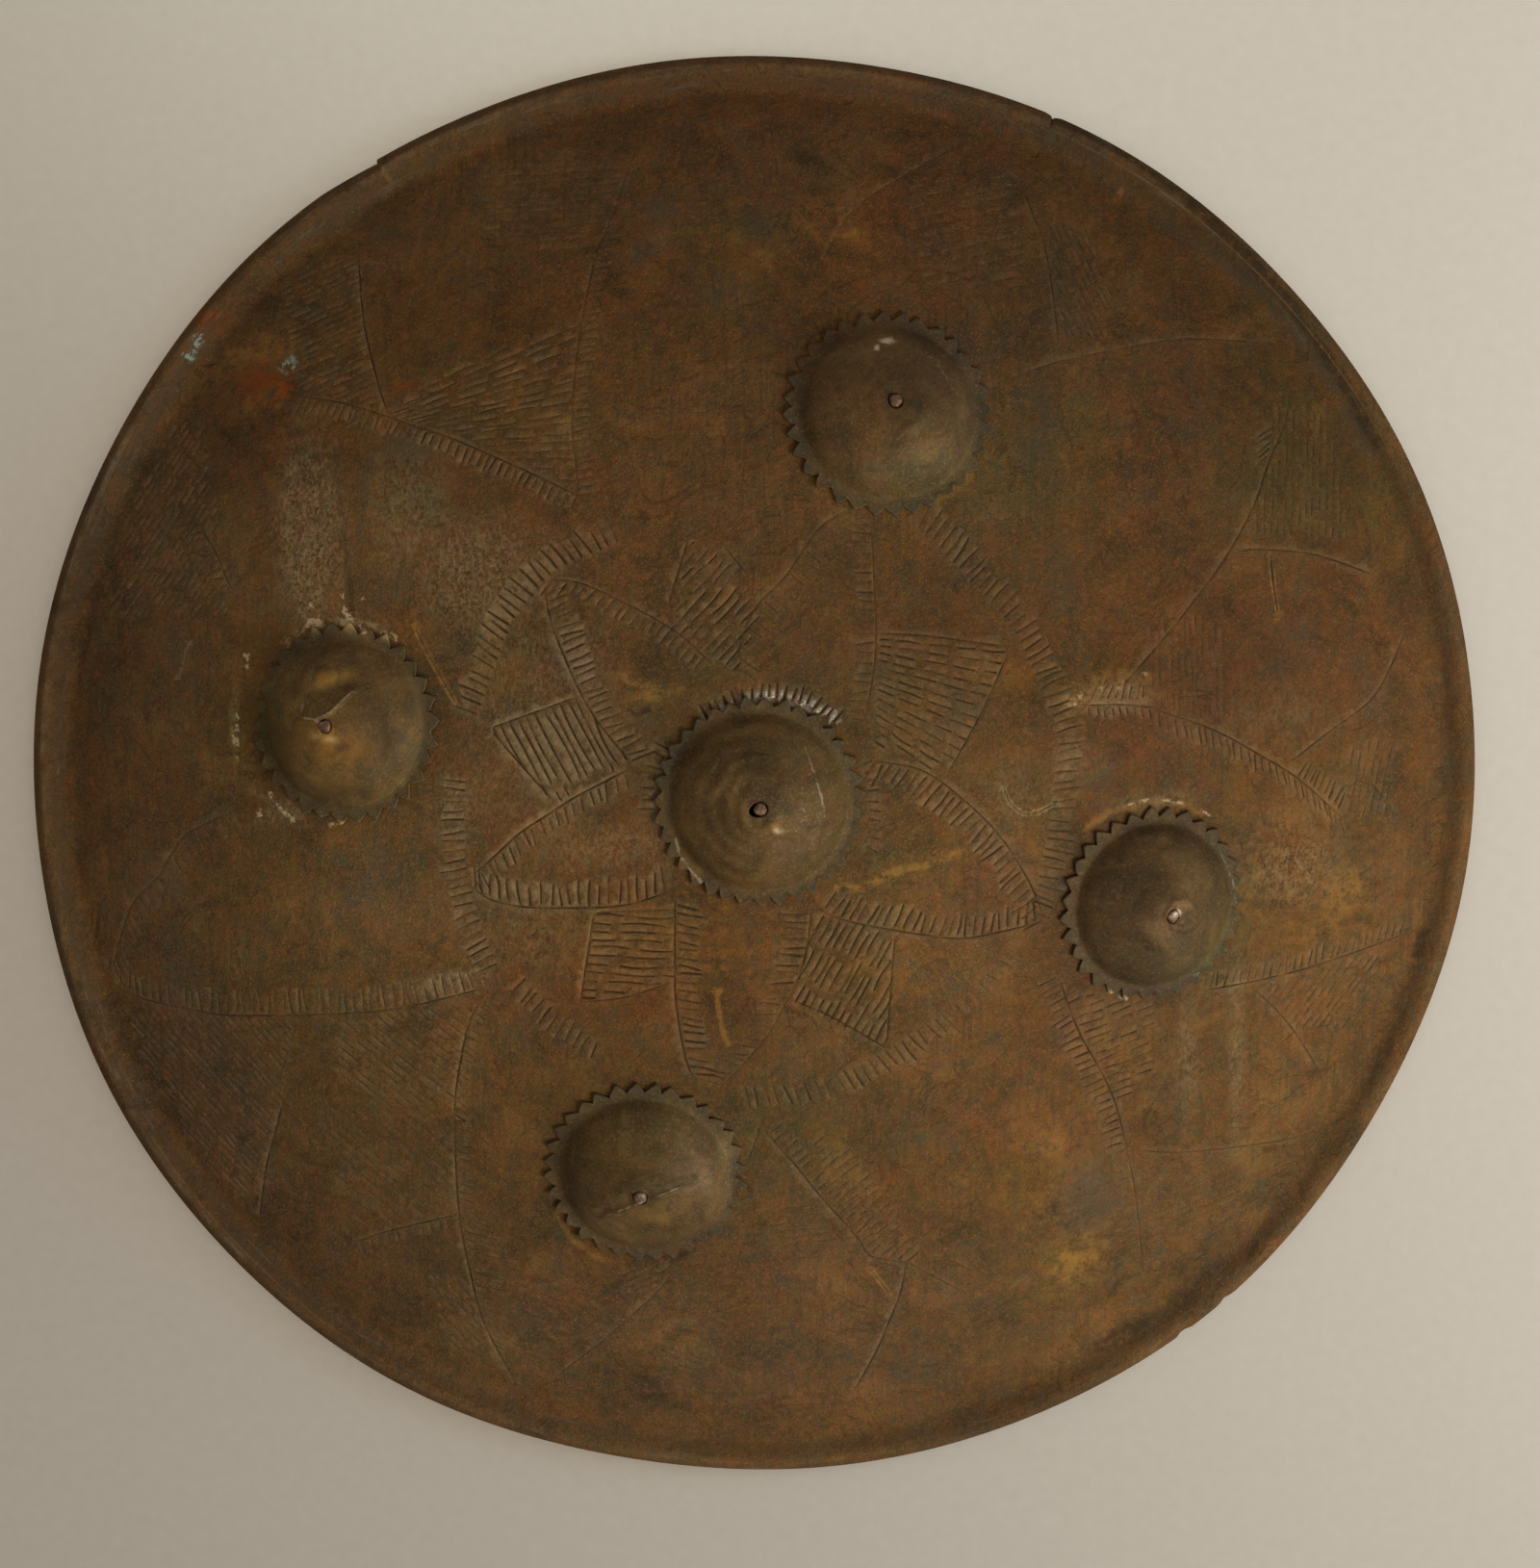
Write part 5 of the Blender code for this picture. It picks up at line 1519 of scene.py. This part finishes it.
def colour_ramp(tree, value, stops):
    made = add_node(tree, "ShaderNodeValToRGB", {"Fac": value})
    ramp = made.color_ramp
    for element, (place, colour) in zip(ramp.elements, stops):
        element.position = place
        element.color = (*colour, 1.0)
    for place, colour in stops[2:]:
        ramp.elements.new(place).color = (*colour, 1.0)
    return made.outputs["Color"]


def attribute(tree, name):
    return add_node(tree, "ShaderNodeAttribute", attribute_name=name).outputs["Fac"]


def new_material(name):
    material = bpy.data.materials.new(name)
    material.use_nodes = True
    tree = material.node_tree
    place = add_node(tree, "ShaderNodeTexCoord").outputs["Object"]
    return material, tree, tree.nodes["Principled BSDF"], place


def connect(tree, shader, **values):
    """Link or set inputs of the main shader by their names with underscores for spaces."""
    for name, value in values.items():
        socket = shader.inputs[name.replace("_", " ")]
        if isinstance(value, bpy.types.NodeSocket):
            tree.links.new(value, socket)
        else:
            socket.default_value = value


def bump(tree, height, strength, distance, under=None):
    inputs = {"Height": height, "Strength": strength, "Distance": distance}
    if under is not None:
        inputs["Normal"] = under
    return add_node(tree, "ShaderNodeBump", inputs).outputs["Normal"]


def tint_marks(tree, colour, ragged, tints):
    """Lay each kind of mark over a colour, its edge broken up by a ragged noise."""
    for kind, tint, most in tints:
        share = multiply(tree, attribute(tree, kind), ragged)
        share = remap(tree, share, *MARK_EDGE, 0.0, most)
        colour = blend_colour(tree, share, colour, tint)
    return colour


def speckle(tree, place, colour, specks):
    """Lay fine noises over a colour: each one's scale, where it starts and is full, most, and tint."""
    for scale, low, high, most, tint in specks:
        share = remap(tree, noise_value(tree, place, scale, *SPECK_NOISE), low, high, 0.0, most)
        colour = blend_colour(tree, share, colour, tint)
    return colour


def vary_hue(tree, place, colour, scale, most):
    """Shift red, green and blue a little, each by its own fine noise."""
    inputs = {"Vector": place, "Scale": scale, "Detail": 6.0, "Roughness": 0.80}
    shifts = add_node(tree, "ShaderNodeTexNoise", inputs).outputs["Color"]
    return blend_colour(tree, most, colour, shifts, "OVERLAY")


def round_the_rim(tree, place):
    """Coordinates that draw a noise out along the rim."""
    parts = add_node(tree, "ShaderNodeSeparateXYZ", {0: place}).outputs
    turn = calculate(tree, "ARCTAN2", parts["Y"], parts["X"])
    outward = add_node(tree, "ShaderNodeVectorMath", {0: place}, operation="LENGTH").outputs["Value"]
    inputs = {"X": multiply(tree, turn, 0.07), "Y": multiply(tree, outward, 3.0)}
    return add_node(tree, "ShaderNodeCombineXYZ", inputs).outputs["Vector"]


def shift_light_and_hue(tree, colour):
    """Lighten or darken a colour by the tone marks, mostly painted light and shade, and turn its hue by
    the red and yellow marks.
    """
    painted_light_and_tone = calculate(tree, "ADD", attribute(tree, "painted_light_and_tone"), 1.0)
    gains = {}
    for channel, kind, gain in HUE_GAINS:
        turned = calculate(tree, "MULTIPLY_ADD", attribute(tree, kind), gain, third=1.0)
        gains[channel] = multiply(tree, painted_light_and_tone, turned)
    gain = add_node(tree, "ShaderNodeCombineXYZ", gains).outputs["Vector"]
    product = add_node(tree, "ShaderNodeVectorMath", {0: colour, 1: gain}, operation="MULTIPLY")
    return product.outputs["Vector"]


def brushed_value(tree, place, turn, scale, stretch=0.06):
    """Noise drawn out into fine lines in one direction."""
    inputs = {"Vector": place, "Rotation": (0.0, 0.0, turn), "Scale": (1.0, stretch, stretch)}
    drawn_out = add_node(tree, "ShaderNodeMapping", inputs, vector_type="POINT").outputs["Vector"]
    return noise_value(tree, drawn_out, scale, 3.0, 0.6)


def chased_iron():
    """Old sheet iron: brown rust over grey-green, stains, blooms, worn patches and pits, with painted
    light and shade, painted glints and painted highlights on the burrs.
    """
    material, tree, shader, place = new_material("Chased rusted iron")
    broad = noise_value(tree, place, 13.0, 4.0, 0.55, 0.4)
    patchy = noise_value(tree, place, 48.0, 8.0, 0.66, 0.5)
    grain = noise_value(tree, place, 420.0, 5.0, 0.70)
    fine = noise_value(tree, place, 1300.0, 3.0, 0.65)
    brushed = brushed_value(tree, place, math.radians(6), 900.0)
    colour = rusted_ground(tree, place, broad, patchy, brushed)
    ragged = remap(tree, noise_value(tree, place, 230.0, 7.0, 0.78), 0.38, 0.62)
    colour = tint_marks(tree, colour, ragged, IRON_TINTS)
    colour = fleck_worn_iron(tree, place, colour, patchy)
    colour = vary_hue(tree, place, colour, 210.0, 0.36)
    colour = tint_rim(tree, place, colour, patchy)
    colour = spot_crisply(tree, place, colour)
    colour = tint_grooves(tree, place, colour, grain)
    # Painted light and shade in broad patches, and turns of hue
    colour = shift_light_and_hue(tree, colour)
    shine = shining_share(tree, ragged)
    colour = blend_colour(tree, shine, colour, SHINING_IRON)
    roughness = remap(tree, grain, 0.3, 0.7, 0.62, 0.80)
    roughness = calculate(tree, "SUBTRACT", roughness, multiply(tree, shine, 0.36))
    normal = bump(tree, patchy, 0.35, 0.0012)
    normal = bump(tree, brushed, 0.15, 0.0003, normal)
    normal = bump(tree, grain, 0.75, 0.0007, normal)
    normal = bump(tree, fine, 0.70, 0.0003, normal)
    connect(tree, shader, Base_Color=colour, Roughness=roughness, Normal=normal)
    connect(tree, shader, Metallic=remap(tree, shine, 0.0, 1.0, 0.0, 0.75), Specular_IOR_Level=0.06)
    return material


def rusted_ground(tree, place, broad, patchy, brushed):
    """Brown rust with specks, dark outlines of old stains and faint brushed lines."""
    mottle = calculate(tree, "ADD", multiply(tree, broad, 0.35), multiply(tree, patchy, 0.65))
    colour = colour_ramp(tree, mottle, IRON_GROUND)
    colour = speckle(tree, place, colour, IRON_SPECKS)
    stain = noise_value(tree, place, 30.0, 6.0, 0.60, 1.4)
    outline = calculate(tree, "ABSOLUTE", calculate(tree, "SUBTRACT", stain, 0.54))
    outline = remap(tree, outline, 0.0, 0.010, 0.60, 0.0)
    colour = blend_colour(tree, outline, colour, STAIN_OUTLINE)
    lines = remap(tree, brushed, 0.50, 0.66)
    lines = multiply(tree, lines, remap(tree, broad, 0.45, 0.60, 0.0, 0.4))
    return blend_colour(tree, lines, colour, BRUSH_LINES)


def fleck_worn_iron(tree, place, colour, patchy):
    """Deep rust inside the blooms, and pale flecks and dark pits where the iron is worn and where glints
    are painted beside the left cap.
    """
    rusted = multiply(tree, attribute(tree, "bloom"), remap(tree, patchy, 0.50, 0.58))
    colour = blend_colour(tree, multiply(tree, rusted, 0.6), colour, DEEP_RUST)
    broken = remap(tree, noise_value(tree, place, 270.0, 7.0, 0.76), 0.44, 0.56)
    flecks = remap(tree, brushed_value(tree, place, math.radians(4), 1000.0, 0.5), 0.450, 0.555)
    pale = multiply(tree, remap(tree, attribute(tree, "wear"), 0.10, 0.60), flecks)
    pale = multiply(tree, pale, remap(tree, broken, 0.0, 1.0, 0.30, 0.72))
    colour = blend_colour(tree, pale, colour, PALE_FLECKS)
    pitted = remap(tree, noise_value(tree, place, 900.0, 4.0, 0.7), 0.535, 0.585, 0.0, 0.7)
    pitted = multiply(tree, pitted, remap(tree, attribute(tree, "wear"), 0.10, 0.60))
    return blend_colour(tree, pitted, colour, WORN_PITS)


def tint_rim(tree, place, colour, patchy):
    """Greyer iron on the bead, painted paler on its left side as painted light, scraped in places, and
    dirt in the hollow inside it.
    """
    scuffs = noise_value(tree, round_the_rim(tree, place), 130.0, 6.0, 0.70)
    bead = multiply(tree, attribute(tree, "bead"), remap(tree, scuffs, 0.44, 0.60, 0.05, 0.68))
    colour = blend_colour(tree, bead, colour, RIM_IRON)
    scraped = multiply(tree, attribute(tree, "bead"), remap(tree, scuffs, 0.58, 0.64, 0.0, 0.5))
    colour = blend_colour(tree, scraped, colour, SCRAPED_RIM)
    hollow = multiply(tree, attribute(tree, "hollow"), remap(tree, patchy, 0.42, 0.60, 0.05, 0.45))
    return blend_colour(tree, hollow, colour, HOLLOW_DIRT)


def spot_crisply(tree, place, colour):
    """Sharp-edged spots of verdigris, and pale painted glints on polished specks."""
    crisp = remap(tree, noise_value(tree, place, 320.0, 6.0, 0.75), 0.46, 0.56)
    for kind, tint in SPOT_TINTS:
        spots = multiply(tree, attribute(tree, kind), crisp)
        colour = blend_colour(tree, remap(tree, spots, 0.25, 0.60, 0.0, 0.9), colour, tint)
    return colour


def tint_grooves(tree, place, colour, grain):
    """Rubbed burrs with painted highlights, darkened grooves, and dark pits all over."""
    worn = multiply(tree, attribute(tree, "burr"), remap(tree, grain, 0.35, 0.65, 0.3, 1.0))
    rubbed = calculate(tree, "MAXIMUM", attribute(tree, "wear"), attribute(tree, "bead"))
    worn = multiply(tree, worn, remap(tree, rubbed, 0.0, 0.5, 0.32, 0.90))
    colour = blend_colour(tree, worn, colour, RUBBED_BURR_AND_HIGHLIGHT)
    cut = attribute(tree, "chasing")
    cut = multiply(tree, cut, remap(tree, grain, 0.30, 0.60, 0.45, 1.0))
    colour = blend_colour(tree, remap(tree, cut, 0.08, 0.80, 0.0, 0.85), colour, DARK_GROOVES_AND_PITS)
    pits = remap(tree, noise_value(tree, place, 1000.0, 4.0, 0.7), 0.60, 0.70)
    return blend_colour(tree, multiply(tree, pits, 0.55), colour, DARK_GROOVES_AND_PITS)


def shining_share(tree, ragged):
    """Where rubbing has brightened the metal, between the grooves."""
    ridges = remap(tree, attribute(tree, "chasing"), 0.0, 0.35, 1.0, 0.1)
    rubbed = multiply(tree, attribute(tree, "shine"), remap(tree, ragged, 0.0, 1.0, 0.45, 1.0))
    return remap(tree, multiply(tree, rubbed, ridges), 0.25, 0.60)


def tarnished_brass():
    """Brass gone brown and dull, golden where it is rubbed, grey-green at the foot and teeth, with
    painted shade on the upper left sides and painted glints and highlights.
    """
    material, tree, shader, place = new_material("Tarnished brass")
    cloud = noise_value(tree, place, 55.0, 6.0, 0.62, 0.8)
    grain = noise_value(tree, place, 480.0, 4.0, 0.65)
    brushed = brushed_value(tree, place, math.radians(-25), 700.0)
    colour = colour_ramp(tree, cloud, BRASS_GROUND)
    edge = attribute(tree, "edge")
    dull = remap(tree, edge, 0.30, 0.75)
    dull = multiply(tree, dull, remap(tree, cloud, 0.40, 0.60, 0.85, 0.40))
    colour = blend_colour(tree, dull, colour, DULL_FOOT)
    colour = speckle(tree, place, colour, BRASS_SPECKS)
    colour = vary_hue(tree, place, colour, 240.0, 0.30)
    ragged = remap(tree, noise_value(tree, place, 160.0, 6.0, 0.72), 0.34, 0.60)
    colour = tint_marks(tree, colour, ragged, BRASS_TINTS)
    broken = remap(tree, noise_value(tree, place, 420.0, 4.0, 0.7), 0.42, 0.60, -0.45, 0.0)
    # Bare metal, and painted glints and highlights on the caps
    bare = calculate(tree, "ADD", attribute(tree, "bare"), broken, clamp=True)
    # A pale colour paints glints on polished specks
    colour = blend_colour(tree, attribute(tree, "cream"), shift_light_and_hue(tree, colour), BRASS_POLISH_AND_GLINT)
    colour = blend_colour(tree, bare, colour, BARE_BRASS_AND_GLINT)
    roughness = remap(tree, cloud, 0.3, 0.7, 0.66, 0.56)
    roughness = calculate(tree, "ADD", roughness, multiply(tree, edge, 0.22), clamp=True)
    metallic = remap(tree, bare, 0.0, 1.0, 0.30, 0.8)
    normal = bump(tree, cloud, 0.35, 0.0015)
    normal = bump(tree, brushed, 0.12, 0.0003, normal)
    normal = bump(tree, grain, 0.40, 0.0004, normal)
    connect(tree, shader, Base_Color=colour, Roughness=roughness, Metallic=metallic, Normal=normal)
    connect(tree, shader, Specular_IOR_Level=0.20)
    return material


def rusted_pin():
    """Hammered iron with thin brown rust, bright where it is rubbed and where glints are painted."""
    material, tree, shader, place = new_material("Rusted pin")
    grain = noise_value(tree, place, 700.0, 5.0, 0.65)
    colour = colour_ramp(tree, grain, PIN_GROUND)
    # Rubbed bright metal, and painted glints on the pins
    bare = attribute(tree, "bare")
    colour = blend_colour(tree, bare, colour, BARE_PIN_AND_GLINT)
    roughness = remap(tree, bare, 0.0, 1.0, 0.52, 0.30)
    normal = bump(tree, grain, 0.6, 0.0004)
    connect(tree, shader, Base_Color=colour, Roughness=roughness, Metallic=0.5, Normal=normal)
    return material


def floor_material():
    material, tree, shader, place = new_material("Pale floor")
    fibre = noise_value(tree, place, 240.0, 4.0, 0.6)
    colour = colour_ramp(tree, fibre, FLOOR_GROUND)
    connect(tree, shader, Base_Color=colour, Roughness=0.85, Normal=bump(tree, fibre, 0.1, 0.0003))
    return material


def add_floor():
    mesh = bpy.data.meshes.new("floor")
    signs = ((-1, -1), (1, -1), (1, 1), (-1, 1))
    corners = [(FLOOR_REACH * x, FLOOR_REACH * y, 0.0) for x, y in signs]
    mesh.from_pydata(corners, [], [(0, 1, 2, 3)])
    mesh.materials.append(floor_material())
    floor = add_object("floor", mesh)
    return floor


def light_floor(floor, plate):
    """Give the floor lamps of its own, so that its tones fall off as photographed."""
    for *settings, shaded in FLOOR_LAMPS:
        lamp = add_light(*settings)
        link_light(lamp, "receiver", [floor])
        link_light(lamp, "blocker", [floor, plate] if shaded else [floor])


def link_light(lamp, purpose, items):
    """Let a lamp light only some objects, or be shaded by only some."""
    group = bpy.data.collections.new(lamp.name + " " + purpose)
    for item in items:
        group.objects.link(item)
    setattr(lamp.light_linking, purpose + "_collection", group)


def add_light(name, place, aim, size, power, colour):
    light = bpy.data.lights.new(name, "AREA")
    light.shape = "DISK"
    light.size = size
    light.energy = power
    light.color = colour
    lamp = add_object(name, light)
    lamp.location = place
    lamp.rotation_euler = (Vector(aim) - Vector(place)).to_track_quat("-Z", "Y").to_euler()
    return lamp


def add_studio(pieces):
    """Soft warm light all round, and a key light on the shield from the lower right."""
    world = bpy.data.worlds.new("studio")
    bpy.context.scene.world = world
    world.use_nodes = True
    sky = world.node_tree.nodes["Background"]
    sky.inputs["Color"].default_value = SKY_COLOUR
    sky.inputs["Strength"].default_value = SKY_STRENGTH
    link_light(add_light(*KEY_LAMP), "receiver", pieces)
    bpy.context.scene.view_settings.view_transform = "Standard"


def add_camera(middle):
    data = bpy.data.cameras.new("camera")
    data.sensor_fit = "HORIZONTAL"
    data.sensor_width = SENSOR_WIDTH
    data.lens = data.sensor_width * FOCAL_PIXELS / PHOTO_WIDTH
    camera = add_object("camera", data)
    turn = Matrix((RIGHT, UP, BACK)).transposed().to_4x4()
    camera.matrix_world = Matrix.Translation(VIEW_POINT + middle) @ turn
    bpy.context.scene.camera = camera


def dish_middle():
    """Where the shield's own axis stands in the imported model's frame."""
    low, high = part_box("rivet_center")
    return Vector(((low.x + high.x) / 2, (low.y + high.y) / 2, 0.0))


def dress(piece, material, slot, *nodes):
    piece.data.materials.append(material)
    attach(piece, "root")
    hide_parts(*nodes)


def build_scene():
    middle = dish_middle()
    add_camera(middle)
    floor = add_floor()
    plate = build_plate(middle)
    pieces = [plate]
    paint_patches(plate, middle)
    dress(plate, chased_iron(), "plate_iron", "shield_body")
    brass, pin_iron = tarnished_brass(), rusted_pin()
    for boss in BOSSES:
        cap = build_cap(boss, middle)
        paint_patches(cap, middle)
        dress(cap, brass, "boss_brass", "boss_" + boss.name)
        pin = build_pin(boss, middle)
        paint_patches(pin, middle)
        dress(pin, pin_iron, "rivet_iron", "rivet_" + boss.name)
        pieces += [cap, pin]
    add_studio(pieces)
    light_floor(floor, plate)


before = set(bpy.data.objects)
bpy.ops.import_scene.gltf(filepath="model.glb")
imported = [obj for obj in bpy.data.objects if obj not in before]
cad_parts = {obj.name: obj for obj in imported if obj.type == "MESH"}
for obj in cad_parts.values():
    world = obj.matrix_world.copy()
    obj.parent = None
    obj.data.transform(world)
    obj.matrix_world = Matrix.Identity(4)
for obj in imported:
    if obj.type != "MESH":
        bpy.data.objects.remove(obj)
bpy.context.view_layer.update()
build_scene()
